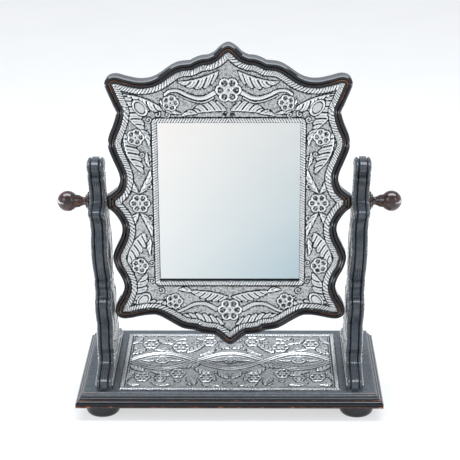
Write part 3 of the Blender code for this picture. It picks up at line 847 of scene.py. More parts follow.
FRAME_HALF = (
    (0, 196.9), (4.6, 195.5), (10.2, 191.7), (17.2, 185.1), (24.4, 181.5, True), (32, 180.7), (39.5, 178.2),
    (46, 174.7, True), (53, 174.1), (60.5, 172.9), (67.5, 169.8), (75, 164.9), (82.5, 159.4), (89.5, 155.5),
    (96.5, 153.2), (104, 152.4), (112, 153), (124.5, 155.9), (133, 158.3), (140.5, 158.1), (146.6, 154.5),
    (149, 148.3), (146.6, 140), (139.4, 122.1), (136, 112.7), (139.9, 97.8), (145.3, 84.6), (147.4, 74.4),
    (146, 64.8), (140.4, 49.8), (135, 36), (133.9, 26.4), (137.4, 16.2), (143.6, 9.8), (150, 5.2, True),
    (150, -9.6, True), (143.4, -15), (136.6, -24.6), (133, -34.5), (134.6, -46.5), (141, -60.5),
    (145.6, -74.4), (142.2, -89.5), (135.2, -103.5), (132.7, -115), (136.2, -126.5), (142.4, -137.5),
    (145.3, -147.2), (142.6, -154.6), (136, -158), (127, -157.8), (115, -155.2), (104, -153.4),
    (92, -153.6), (80, -159.8), (69.9, -166.2), (60.5, -171.4), (52, -173.4), (44.5, -174.4, True),
    (38.5, -177.6), (32.5, -179.2), (21.1, -180.4, True), (15.6, -184), (10, -189), (4.6, -193),
    (0, -194.4),
)


@dataclass
class MirrorFrame:
    """The serpentine frame: a board, a moulding along its edge and an embossed sheet on its face."""

    lacquer: bpy.types.Material
    silver: bpy.types.Material
    zero_height: float
    outline: Outline = field(init=False)
    rim: float = 9.2
    rebate: float = 4.2
    silver_step: float = 0.78
    sheet_lip: float = 0.5

    def __post_init__(self) -> None:
        """Takes the board's and the sight opening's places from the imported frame."""
        self.outline = Outline.from_half(FRAME_HALF, True, 1.4)
        low, high = (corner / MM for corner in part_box("mirror_frame"))
        self.front, self.back = low.y, high.y
        glass_low, glass_high = (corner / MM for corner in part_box("mirror_glass"))
        self.sight = np.array([[glass_low.x + self.rebate, glass_high.x - self.rebate],
                               [glass_low.z + self.rebate, glass_high.z - self.rebate]])
        self.sight[1] -= self.zero_height
        self.glass_front = glass_low.y
        self.ground = (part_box("frame_silver")[1] / MM).y - 0.1
        self.face = self.ground + 0.4

    def world(self, across: Array, up: Array, depth: Array) -> Array:
        """Points from places on the frame's face and their depth along Y."""
        return np.stack(np.broadcast_arrays(across, depth, up + self.zero_height), axis=-1)

    @staticmethod
    def rectangle(across: Sequence[float], up: Sequence[float]) -> Array:
        """The four corners of a rectangle between two places across and two up."""
        (x0, x1), (z0, z1) = across, up
        return np.array([[x0, z0], [x1, z0], [x1, z1], [x0, z1]])

    def build_board(self) -> None:
        """The board behind: its edge is the outline carried back, its openings are rectangles."""
        piece = Piece("frame_board")
        depth = np.array([0.35, 0.0, 0.0, 0.9])
        level = np.array([self.face, self.face + 0.4, self.back - 0.9, self.back])
        rings = self.outline.moved_in(depth)
        edge = self.world(rings[..., 0], rings[..., 1], level[:, None])
        columns = edge.shape[1]
        first = piece.add(edge, grid_quads(len(depth), columns, wrap_columns=True), wear=0.0)
        recess_low, recess_high = (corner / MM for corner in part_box("back_panel"))
        glass_low, glass_high = (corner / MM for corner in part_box("mirror_glass"))
        sight = self.rectangle(*(self.sight + [[-0.8, 0.8], [-0.8, 0.8]]))
        rebate, recess = (
            self.rectangle((low.x - gap, high.x + gap),
                           (low.z - self.zero_height - gap, high.z - self.zero_height + gap))
            for low, high, gap in ((glass_low, glass_high, 0.6), (recess_low, recess_high, 0.6)))
        levels = (self.face, self.glass_front - 0.3, self.glass_front - 0.3, recess_low.y - 0.3,
                  recess_low.y - 0.3, self.back)
        walls = [self.world(loop[:, 0], loop[:, 1], level)
                 for loop, level in zip((sight, sight, rebate, rebate, recess, recess), levels)]
        inner = piece.add(np.stack(walls), grid_quads(6, 4, wrap_columns=True), wear=0.0)
        for ring, wall in ((0, 0), (len(depth) - 1, 5)):
            numbers = np.concatenate([first + ring * columns + np.arange(columns),
                                      inner + wall * 4 + np.arange(4)])
            flat = [edge[ring] * [1, 0, 1], walls[wall] * [1, 0, 1]]
            piece.faces += [tuple(int(numbers[k]) for k in face) for face in filled(*flat)]
        piece.finish(self.lacquer, Body.MIRROR, Slot.LACQUER, ["mirror_frame"], sharp=30.0)

    def build_moulding(self) -> None:
        """The moulding: a chamfered bead, a thin arris and a cove, carried along the outline."""
        top = self.face - self.front
        bead = np.array([
            (0.0, 0.0), (0.0, top - 2.5), (0.12, top - 2.2), (0.22, top - 2.05), (1.4, top - 0.38),
            (1.5, top - 0.26), (1.8, top - 0.06), (2.4, top), (3.1, top - 0.12), (3.9, top - 0.6),
            (4.5, top - 1.5), (4.85, 1.0), (5.0, 0.6),
        ])
        flank = np.array([
            (5.15, 0.75), (5.45, 1.3), (5.75, 1.5), (6.05, 1.3), (6.35, 0.85), (6.8, 0.55), (7.6, 0.4),
            (8.4, 0.5), (8.9, 0.8), (self.rim, 0.95),
        ])
        depth, rise = np.vstack([bead, flank]).T
        rings = self.outline.moved_in(np.append(depth, self.rim))
        reach = np.minimum(depth[:, None], self.outline.room[None])
        level = self.face - np.interp(reach, depth, rise)
        level = np.vstack([level, np.full((1, level.shape[1]), self.face)])
        tight = self.outline.tightness()[None]
        wear = (0.66 * bell(reach - 5.75, 0.45) + 0.12 * bell(reach - 8.9, 0.4)
                + tight * (0.40 * bell(reach - 5.6, 0.9) + 0.42 * bell(reach - 3.6, 1.2))
                + 0.12 * bell(reach, 0.5))
        wear = np.vstack([wear, np.zeros((1, wear.shape[1]))])
        points = self.world(rings[..., 0], rings[..., 1], level)
        piece = Piece("frame_moulding")
        piece.add(points, grid_quads(*points.shape[:2], wrap_rows=True, wrap_columns=True), wear=wear)
        piece.finish(self.lacquer, Body.MIRROR, Slot.LACQUER, sharp=60.0)

    def draw_ornament(self, relief: Relief) -> None:
        """Acanthus fronds, rosettes and stems, laid out on the right half and mirrored."""
        for base, tip, left, right, lobes, bend in (
            ((12, 164), (60, 151), 1.2, 13.0, 5, -3.0),
            ((3, 116), (46, 112), 13.5, 1.2, 5, 1.0),
            ((38, 112), (56, 109), 5.0, 1.5, 2, 1.0),
            ((131, 136), (78, 117), 15.5, 1.0, 6, -4.0),
            ((130, 133), (103, 90), 1.0, 17.0, 6, 6.0),
            ((82, 129), (58, 112), 6.0, 2.0, 3, 3.0),
            ((107, 92), (97, 71), 1.5, 5.5, 3, -1.5),
            ((127, 86), (105, 36), 1.2, 15.0, 6, 7.0),
            ((100, 62), (97, 44), 3.5, 1.2, 3, 0.5),
            ((109, 11), (96, 40), 5.5, 3.0, 4, 2.0),
            ((112, 11), (123, 38), 3.0, 6.5, 4, -2.0),
            ((109, -16), (96, -46), 3.0, 5.5, 4, -2.0),
            ((112, -16), (122, -44), 6.5, 3.0, 4, 2.0),
            ((106, -42), (127, -84), 1.2, 15.0, 6, 6.0),
            ((98, -50), (99, -72), 4.0, 2.0, 3, 0.5),
            ((128, -148), (104, -96), 16.0, 1.0, 6, -5.0),
            ((129, -152), (76, -136), 1.0, 15.0, 6, 3.0),
            ((82, -128), (60, -146), 5.0, 2.0, 3, -2.0),
            ((3, -128), (50, -120), 1.2, 11.5, 6, 2.0),
            ((48, -121), (64, -118), 4.0, 3.0, 2, 1.0),
            ((8, -166), (60, -153), 12.0, 1.2, 6, -3.0),
        ):
            relief.frond(base, tip, left, right, lobes, bend)
        relief.stem(((16, 138), (27, 132), (38, 131), (50, 135), (60, 140), (70, 140), (77, 135)), 5.5, 3.0)
        relief.stem(((18, 131.5), (29, 126), (39, 126.5), (50, 130), (60, 135)), 1.8, 1.2)
        relief.stem(((17, -145), (30, -138), (44, -138), (58, -145), (70, -150)), 6.0, 3.0, strokes=2.8)
        relief.oval((107, 119), 11.0, 7.0, math.radians(52))
        relief.oval((109, -133), 11.0, 7.0, math.radians(-52))
        for centre, radius, petals in (((70, 125), 10.0, 5), ((113, 82), 10.5, 5), ((112, -86), 10.5, 5),
                                       ((70, -134), 10.5, 5)):
            relief.rosette(centre, radius, petals, 0.6)
        for centre, radius, hand in (((86, 111), 4.5, 1.0), ((97, 104), 4.0, -1.0), ((98, 54), 4.0, 1.0),
                                     ((106, 60), 3.5, -1.0), ((98, 18), 3.8, 1.0), ((98, -22), 3.8, -1.0),
                                     ((97, -82), 4.0, -1.0), ((97, -106), 4.0, 1.0), ((86, -119), 4.0, -1.0),
                                     ((74, 110), 3.5, -1.0), ((20, 175), 3.8, 1.0), ((10, -178), 3.8, 1.0)):
            relief.curl(centre, radius, hand, 0.6)
        for centre, radius in (((0, 141), 15.5), ((110, -3), 12.5), ((0, -146), 15.0)):
            relief.rosette(centre, radius)
        relief.chase(bell(np.hypot(relief.u - 4.0, relief.v - 111.0), 2.0))
        spike = bell(np.abs(relief.v - 118.0 + 1.6 * relief.u), 0.6)
        relief.raise_to(0.9 * spike * (relief.v > 107) * (relief.v < 125))

    def build_silver(self) -> None:
        """The sheet: ornament between a rope along the outline and a rope round the glass."""
        step = self.silver_step
        (x0, x1), (z0, z1) = self.sight
        columns = round((x1 - x0) / step)
        rows = round((z1 - z0) / step)
        step_x, step_z = (x1 - x0) / columns, (z1 - z0) / rows
        extra_x = math.ceil((152.0 - x1) / step_x)
        above, below = math.ceil((198.0 - z1) / step_z), math.ceil((196.0 + z0) / step_z)
        across = x0 + step_x * np.arange(-extra_x, columns + extra_x + 1)
        up = z0 + step_z * np.arange(-below, rows + above + 1)
        relief = Relief(across, up, mirrored=True)
        places = np.stack(np.meshgrid(across, up), axis=-1)
        inside, along = self.outline.nearest(places)
        self.draw_ornament(relief)
        middle_z = (z0 + z1) / 2
        out_x, out_z = np.abs(places[..., 0]) - x1, np.abs(places[..., 1] - middle_z) - (z1 - z0) / 2
        from_sight = np.hypot(np.maximum(out_x, 0), np.maximum(out_z, 0))
        from_sight = from_sight + np.minimum(np.maximum(out_x, out_z), 0)
        beside = np.where(out_x > out_z, places[..., 1], np.abs(places[..., 0]))
        relief.rope(inside, along, self.rim + 0.4, 6.4, 3.1, 0.6)
        relief.rope(from_sight, beside, 0.3, 5.6, 3.3, 0.6)
        keep = np.minimum(inside - self.rim + self.sheet_lip, from_sight + 0.01)

        def to_world(u: Array, v: Array, height: Array) -> Array:
            """Height stands towards the front."""
            return self.world(u, v, self.ground - height)

        piece = embossed_piece("frame_embossed_sheet", relief, to_world, keep)
        piece.finish(self.silver, Body.MIRROR, Slot.SILVER, ["frame_silver"], sharp=180.0)


# ---------------------------------------------------------------------------- uprights

UPRIGHT_HALF = (
    (0, 54.2), (8.5, 53.2), (15.0, 50.2), (18.4, 45.6), (17.6, 40.6, True), (13.2, 38.0), (12.8, 35.4),
    (16.2, 32.6), (16.0, 28.4, True), (12.2, 22.6), (11.0, 14.0), (12.4, 5.4), (17.0, 1.0), (28.0, -1.6),
    (36.4, -3.6), (39.0, -7.6), (36.8, -12.0, True), (30.0, -16.8), (25.2, -23.4), (23.6, -31.0),
    (25.4, -38.4, True), (31.0, -46.4), (34.4, -57.0), (34.4, -68.0), (31.0, -80.0), (25.0, -91.0),
    (21.4, -99.0, True), (25.0, -102.4), (25.2, -107.0, True), (22.4, -113.0), (25.0, -119.0), (32.0, -122.6),
    (37.4, -127.6), (38.4, -134.6), (35.4, -145.6), (30.6, -155.4, True), (34.8, -163.0), (39.4, -173.0),
    (41.6, -184.6, True), (40.4, -193.0), (44.4, -200.6), (56.0, -204.4), (70.0, -206.4), (79.4, -208.6),
    (84.6, -213.4), (84.2, -220.9, True),
)


@dataclass
class Upright:
    """One scrolled upright: a reeded edge round a board that leans outwards, with two embossed plates.

    In mm: inner is where its inner face lies at the pivot, lean its run outwards for each mm upwards,
    wood_edge the width of bare wood round a plate, and hole the radius of the plate's hole at the stud.
    """

    side_name: str
    lacquer: bpy.types.Material
    silver: bpy.types.Material
    zero_height: float
    pivot_y: float
    inner: float = 152.6
    thickness: float = 18.5
    lean: float = 0.032
    wood_edge: float = 3.4
    plate_step: float = 0.95
    hole: float = 4.4

    def __post_init__(self) -> None:
        """Makes the outline, seen from the side."""
        self.side = SIDES[self.side_name]
        self.outline = Outline.from_half(UPRIGHT_HALF, False, 1.3)

    def world(self, across: Array, depth: Array, up: Array) -> Array:
        """Points from a distance out of the inner face, a place along Y and a height over the zero."""
        x = self.side * (self.inner + across + self.lean * (up + OUTLINE_RISE))
        return np.stack(np.broadcast_arrays(x, depth + self.pivot_y, up + self.zero_height), axis=-1)

    def build_board(self) -> None:
        """The board: a bead along each side of the edge and three reeds on the proud band between."""
        across = np.linspace(0.0, self.thickness, 43)
        middle = np.abs(across - self.thickness / 2)
        band = 4.4
        reeds = 0.28 - 0.28 * np.abs(np.cos(1.5 * math.pi * (middle / band)))
        edge_round = np.sqrt(np.clip(1.0 - ((middle - 7.4) / 1.9) ** 2, 0.0, 1.0))
        depth = np.where(middle < band, reeds, 2.5 - 1.5 * edge_round)
        depth = depth + 1.2 * bell(middle - band - 0.55, 0.45)
        level = self.outline.points[:, 1] > self.outline.points[:, 1].min() + 0.5
        rings = self.outline.moved_in(depth)
        rings = np.where(level[None, :, None], rings, self.outline.points[None])
        points = self.world(across[:, None], rings[..., 0], rings[..., 1])
        columns = points.shape[1]
        tight = self.outline.tightness()
        crest = bell(middle - 2.93, 0.55) + bell(middle, 0.55) + 0.8 * bell(middle - 7.4, 0.8)
        wear = (0.10 + 0.62 * tight[None]) * crest[:, None] * level[None]
        piece = Piece(f"upright_{self.side_name}_board")
        piece.add(points, grid_quads(len(across), columns, wrap_columns=True), wear=wear)
        cap = filled(points[0] * [0, 1, 1])
        piece.faces += [tuple(face) for face in cap]
        piece.faces += shifted(cap, (len(across) - 1) * columns)
        piece.finish(self.lacquer, Body.STAND, Slot.LACQUER, [f"upright_{self.side_name}"], sharp=34.0)

    def build_plate(self, face: str) -> None:
        """An embossed plate: a rope along its edge, a bowed stem with fronds, and a rosette on the pivot."""
        step = self.plate_step
        across = np.arange(-86.0, 86.0 + step, step)
        up = np.arange(-218.0, 56.0, step)
        relief = Relief(across, up, mirrored=True)
        places = np.stack(np.meshgrid(across, up), axis=-1)
        inside, along = self.outline.nearest(places)
        for height in (-30, -62, -92, -130, -165):
            relief.frond((1, height), (19, height + 20), 7.0, 2.0, 5, 2.0)
            relief.frond((1, height - 2), (20, height - 18), 2.0, 7.0, 5, -2.0)
            relief.rosette((0, height), 7.0, 6, 0.0)
        relief.frond((2, -188), (33, -176), 9.0, 3.0, 6, 2.0)
        relief.frond((8, -203), (72, -209), 6.0, 3.0, 9, 1.0)
        relief.rosette((0, 36), 9.0, 6, 0.0)
        relief.stem(((0, -20), (0, -60), (0, -120), (0, -200)), 2.4, 2.4, strokes=2.4)
        relief.rope(inside, along, self.wood_edge + 0.3, 3.8, 3.3, 0.6)
        hole = np.hypot(places[..., 0], places[..., 1] + OUTLINE_RISE) - self.hole
        relief.raise_to(1.0 * bell(hole - 2.0, 1.2))
        keep = np.minimum(inside - self.wood_edge, hole)
        outwards = face == "outer"
        start = self.thickness + 0.45 if outwards else -0.45
        way = 1.0 if outwards else -1.0
        lift = 0.75

        def to_world(u: Array, v: Array, height: Array) -> Array:
            """Height stands away from the board."""
            return self.world(start + way * lift * height, u, v)

        piece = embossed_piece(f"upright_{self.side_name}_{face}_plate", relief, to_world, keep, 0.7 * step)
        stood_for = f"upright_{self.side_name}_{face}_silver"
        piece.finish(self.silver, Body.STAND, Slot.SILVER, [stood_for], sharp=180.0)


# ---------------------------------------------------------------------------- base


@dataclass
class Base:
    """The stepped base: a top board on mitred mouldings, four feet and an embossed sheet.

    The lacquer is worn at its arrises, and the painted-sheen one, a lighter black that paints in the sheen the
    flat top catches, is for the board's flat top.
    """

    lacquer: bpy.types.Material
    painted_sheen: bpy.types.Material
    silver: bpy.types.Material
    sheet_step: float = 0.8

    def build_mouldings(self) -> None:
        """Four mouldings: a stepped section carried along each side, mitred at its ends."""
        run = np.array([
            (-41.5, 0, 0), (7.6, 0, 0.2), (8.2, 0.25, 0.5), (8.5, 0.8, 0.8), (8.5, 2.6, 0.78),
            (8.35, 2.95, 0.7), (7.75, 3.35, 0), (7.6, 3.7, 0), (7.75, 4.0, 0.2), (8.35, 4.2, 0.45),
            (8.5, 4.5, 0.3), (8.5, 5.4, 0.3), (8.3, 5.8, 0.15), (5.85, 7.5, 0), (5.4, 7.75, 0), (4.9, 7.9, 0),
            (4.9, 8.9, 0.3), (4.75, 9.15, 0.8), (4.05, 9.65, 0.72), (3.9, 9.85, 0.1), (3.9, 10.5, 0),
            (3.7, 10.8, 0), (2.7, 11.4, 0), (2.4, 11.5, 0), (-41.5, 11.5, 0),
        ])
        section, wear = run[:, :2], run[:, 2]
        top_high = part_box("base_top_board")[1] / MM
        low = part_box("base_moulding_front")[0].z / MM
        half = {"x": top_high.x - 1.5, "y": top_high.y - 1.5}
        share = np.linspace(-1.0, 1.0, 121)
        for name, axis, side in (("front", "x", -1), ("back", "x", 1), ("left", "y", -1), ("right", "y", 1)):
            other = "y" if axis == "x" else "x"
            along = share[None] * (half[axis] + section[:, :1] - 0.12)
            away = np.broadcast_to(side * (half[other] + section[:, :1]), along.shape)
            up = np.broadcast_to(low + section[:, 1:], along.shape)
            order = (along, away, up) if axis == "x" else (away, along, up)
            points = np.stack(order, axis=-1).transpose(1, 0, 2)
            ends = bell((1.0 - np.abs(share)) * half[axis], 9.0)
            piece = Piece(f"base_{name}_moulding")
            piece.add(points, grid_quads(*points.shape[:2], wrap_columns=True),
                      wear=wear[None] * (0.80 + 0.25 * ends[:, None]))
            cap = filled(np.column_stack([section, np.zeros(len(section))]))
            piece.faces += cap + shifted(cap, (len(share) - 1) * len(section))
            piece.finish(self.lacquer, Body.STAND, Slot.LACQUER, [f"base_moulding_{name}"], sharp=30.0)

    def build_top(self) -> None:
        """The top board: a rounded rectangle carried up a small stepped section."""
        low, high = (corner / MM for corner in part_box("base_top_board"))
        out = np.array([0.0, 0.0, -0.15, -1.2, -1.5, -1.5, -1.6, -1.75, -2.75, -3.0, -5.0])
        up = np.array([0.0, 1.9, 2.15, 2.8, 2.95, 4.1, 4.35, 4.5, 5.1, 5.2, 5.2]) * (high.z - low.z) / 5.2
        wear = np.array([0.2, 0.3, 0.3, 0.1, 0.1, 0.4, 0.74, 0.78, 0.4, 0.1, 0.0])
        share = np.linspace(-1.0, 1.0, 91)[:-1]
        one = np.ones_like(share)
        sides = ((share, -one), (one, share), (-share, one), (-one, -share))
        ring = np.vstack([np.stack(side, 1) for side in sides])
        size = np.array([high.x, high.y])
        flat = ring[None] * (size[None, None] + out[:, None, None])
        points = np.stack(np.broadcast_arrays(flat[..., 0], flat[..., 1], (low.z + up)[:, None]), axis=-1)
        corner = bell((1.0 - np.abs(ring).min(axis=1)) * size.min(), 10.0)
        piece = Piece("base_board")
        piece.add(points, grid_quads(*points.shape[:2], wrap_columns=True),
                  wear=wear[:, None] * (0.72 + 0.3 * corner[None]))
        count = len(ring)
        cap = filled(points[0] * [1, 1, 0])
        piece.faces += cap + shifted(cap, (len(out) - 1) * count)
        # the flat top takes the lighter black of painted sheen
        piece.finish(self.painted_sheen, Body.STAND, Slot.LACQUER, ["base_top_board"], sharp=30.0)

    def build_feet(self) -> None:
        """Four bun feet, each a profile turned about its own upright axis."""
        knots = np.array([
            (15.5, 0.0), (15.5, 20.4), (14.8, 21.2), (12.6, 21.5), (7.4, 21.45), (4.6, 21.1), (2.4, 20.2),
            (0.9, 18.8), (0.2, 16.8), (0.0, 15.0), (0.0, 3.6), (1.4, 3.5), (1.5, 0.0),
        ])
        angle = np.linspace(0.0, 2.0 * math.pi, 73)[:-1]
        wear = np.array([0, 0.3, 0.4, 0.2, 0.1, 0.15, 0.3, 0.5, 0.45, 0.1, 0, 0, 0])
        for front in ("front", "back"):
            for side in ("left", "right"):
                low, high = (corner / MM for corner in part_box(f"foot_{front}_{side}"))
                x, y = (low.x + high.x) / 2, (low.y + high.y) / 2
                radius, height = knots[:, 1:], knots[:, :1] + low.z
                places = (x + radius * np.cos(angle), y + radius * np.sin(angle), height)
                points = np.stack(np.broadcast_arrays(*places), axis=-1)
                piece = Piece(f"bun_foot_{front}_{side}")
                piece.add(points, grid_quads(*points.shape[:2], wrap_columns=True), wear=wear[:, None])
                piece.finish(self.lacquer, Body.STAND, Slot.LACQUER, [f"foot_{front}_{side}"], sharp=35.0)

    def draw_ornament(self, relief: Relief) -> None:
        """Two crossing bands make three eyes along the middle, with flowers, sprays and curls around them."""
        u, v = relief.u, relief.v
        for base, tip, left, right, lobes, bend in (
            ((56, 24), (34, 54), 3.0, 10.0, 5, 3.0), ((74, 24), (100, 32), 6.0, 3.0, 4, 2.0),
            ((96, 66), (76, 50), 4.0, 7.0, 4, 3.0), ((46, 68), (22, 72), 5.0, 7.0, 4, 2.0),
            ((112, 36), (128, 18), 4.0, 7.0, 4, 2.0), ((118, 70), (130, 50), 6.0, 3.0, 4, -2.0),
            ((14, 50), (2, 36), 6.0, 6.0, 3, 1.0), ((80, 70), (60, 66), 5.0, 5.0, 4, 2.0),
            ((40, 16), (22, 38), 8.0, 3.0, 4, 2.0), ((12, 70), (2, 58), 5.0, 5.0, 3, 1.0),
            ((40, -10), (66, -20), 2.0, 9.0, 5, 2.0), ((44, -22), (18, -58), 9.0, 5.0, 6, -5.0),
            ((110, -30), (128, -14), 8.0, 4.0, 4, -2.0), ((122, -34), (130, -58), 4.0, 5.0, 4, 2.0),
            ((76, -44), (100, -32), 6.0, 5.0, 4, 2.0), ((98, -62), (74, -70), 5.0, 5.0, 5, 2.0),
            ((52, -48), (44, -70), 7.0, 5.0, 4, -2.0), ((34, -66), (12, -72), 5.0, 5.0, 4, 2.0),
            ((14, -36), (3, -52), 5.0, 6.0, 3, -1.0), ((128, -66), (112, -70), 4.0, 4.0, 3, 1.0),
        ):
            relief.frond(base, tip, left, right, lobes, bend)
        for centre, radius in (((105, 50), 10.5), ((65, 41), 11.0), ((28, 57), 9.5), ((110, -48), 9.5),
                               ((87, -52), 7.0), ((66, -38), 9.5), ((30, -50), 9.5)):
            relief.rosette(centre, radius, stretch=1.35)
        for centre, radius, hand in (((88, 62), 5.5, 1.0), ((46, 56), 5.0, -1.0), ((86, 34), 4.5, 1.0),
                                     ((12, 62), 4.5, 1.0), ((120, 58), 4.5, -1.0), ((122, 34), 4.0, 1.0),
                                     ((50, -66), 5.0, 1.0), ((78, -26), 4.0, -1.0), ((98, -44), 4.0, 1.0),
                                     ((6, -62), 5.0, 1.0), ((124, -44), 4.0, -1.0), ((66, -58), 4.5, 1.0),
                                     ((20, -34), 4.0, 1.0), ((16, 34), 4.0, 1.0)):
            relief.curl(centre, radius, hand, 0.6)
        wave = np.cos(math.pi * u / 88.0)
        slope = 1.0 / np.sqrt(1.0 + (23.0 * math.pi / 88.0 * np.sin(math.pi * u / 88.0)) ** 2)
        for way in (1.0, -1.0):
            off = (v - way * 23.0 * wave) * slope
            relief.clear(np.abs(off) < 4.4)
            relief.raise_to(1.2 * bell(np.abs(off) - 2.1, 0.7))
            relief.chase(0.8 * bell(off, 0.6) + 0.8 * bell(np.abs(off) - 4.3, 0.5))
        for centre in (0.0, 88.0):
            off = np.abs(v) - 13.0 * np.clip(np.cos(math.pi * (u - centre) / 62.0), 0, 1)
            lens = np.abs(u - centre) < 31.0
            relief.clear(lens & (off < 0.6))
            relief.raise_to(np.where(lens, 1.0 * bell(off, 0.8), 0.0))
            relief.chase(np.where(lens, 0.7 * bell(off + 1.4, 0.4), 0.0))
            for way in (1.0, -1.0):
                relief.frond((centre + way * 8, 0), (centre + way * 25, 0), 3.2, 3.2, 4)
            relief.rosette((centre, 0), 9.0)

    def build_sheet(self) -> None:
        """The embossed sheet on the top board, with its rope border."""
        low, high = (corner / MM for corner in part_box("base_silver_plate"))
        size = (high.x - low.x, high.y - low.y)
        centre_y = (low.y + high.y) / 2
        across = np.linspace(-size[0] / 2, size[0] / 2, round(size[0] / self.sheet_step) + 1)
        up = np.linspace(-size[1] / 2, size[1] / 2, round(size[1] / self.sheet_step) + 1)
        relief = Relief(across, up, mirrored=True)
        self.draw_ornament(relief)
        from_x, from_y = size[0] / 2 - np.abs(relief.u), size[1] / 2 - np.abs(relief.v)
        inside = np.minimum(from_x, from_y)
        along = np.where(from_x < from_y, relief.v, relief.u)
        relief.rope(inside, along, 0.8, 5.2, 3.3, 0.7)
        relief.raise_to(0.8 * bell(inside - 8.0, 0.6))
        relief.chase(0.7 * bell(inside - 9.2, 0.45))
        ground = low.z + 0.35

        def to_world(u: Array, v: Array, height: Array) -> Array:
            """Height stands upwards."""
            return np.stack([u, v + centre_y, ground + height], axis=-1)

        piece = embossed_piece("base_embossed_sheet", relief, to_world, inside + 0.01)
        piece.finish(self.silver, Body.STAND, Slot.SILVER, ["base_silver_plate"], sharp=180.0)


# ---------------------------------------------------------------------------- knobs


@dataclass
class Knob:
    """A turned clamp knob: collar, waist and ball, one profile turned about the pivot axis."""

    side_name: str
    wood: bpy.types.Material
    pivot_y: float
    pivot_height: float

    def build(self) -> None:
        """The profile is a smooth run through the collar and waist, then the ball's arc."""
        side = SIDES[self.side_name]
        low, high = (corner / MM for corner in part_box(f"knob_{self.side_name}"))
        start, end = (low.x, high.x) if side > 0 else (-high.x, -low.x)
        ball = (high.z - low.z) / 2
        collar = np.array([(0.0, 10.6), (0.25, 11.3), (1.0, 11.75), (1.9, 11.5), (2.5, 10.4), (2.8, 9.0),
                           (3.4, 8.3), (4.0, 8.5), (4.5, 8.0), (4.9, 6.6), (6.0, 5.3), (7.6, 5.2), (9.4, 5.9),
                           (11.2, 6.7), (12.6, 7.8)])
        angle = np.radians(np.linspace(140.0, 0.0, 30))
        arc = np.stack([end - start - ball + ball * np.cos(angle), ball * np.sin(angle)], axis=1)
        line = np.vstack([[(0.0, 3.0)], curve_through(collar, 4), arc])
        turn = np.linspace(0.0, 2.0 * math.pi, 73)[:-1]
        x = side * (start + line[:, :1])
        points = np.stack(np.broadcast_arrays(x, self.pivot_y + line[:, 1:] * np.cos(turn),
                                              self.pivot_height + line[:, 1:] * np.sin(turn)), axis=-1)
        piece = Piece(f"turned_knob_{self.side_name}")
        piece.add(points, grid_quads(*points.shape[:2], wrap_columns=True))
        cap = filled(points[0] * [0, 1, 1])
        piece.faces += [tuple(face) for face in cap]
        body = Body.LEFT_KNOB if side < 0 else Body.RIGHT_KNOB
        piece.finish(self.wood, body, Slot.KNOB, [f"knob_{self.side_name}"], sharp=40.0)


# ---------------------------------------------------------------------------- studio


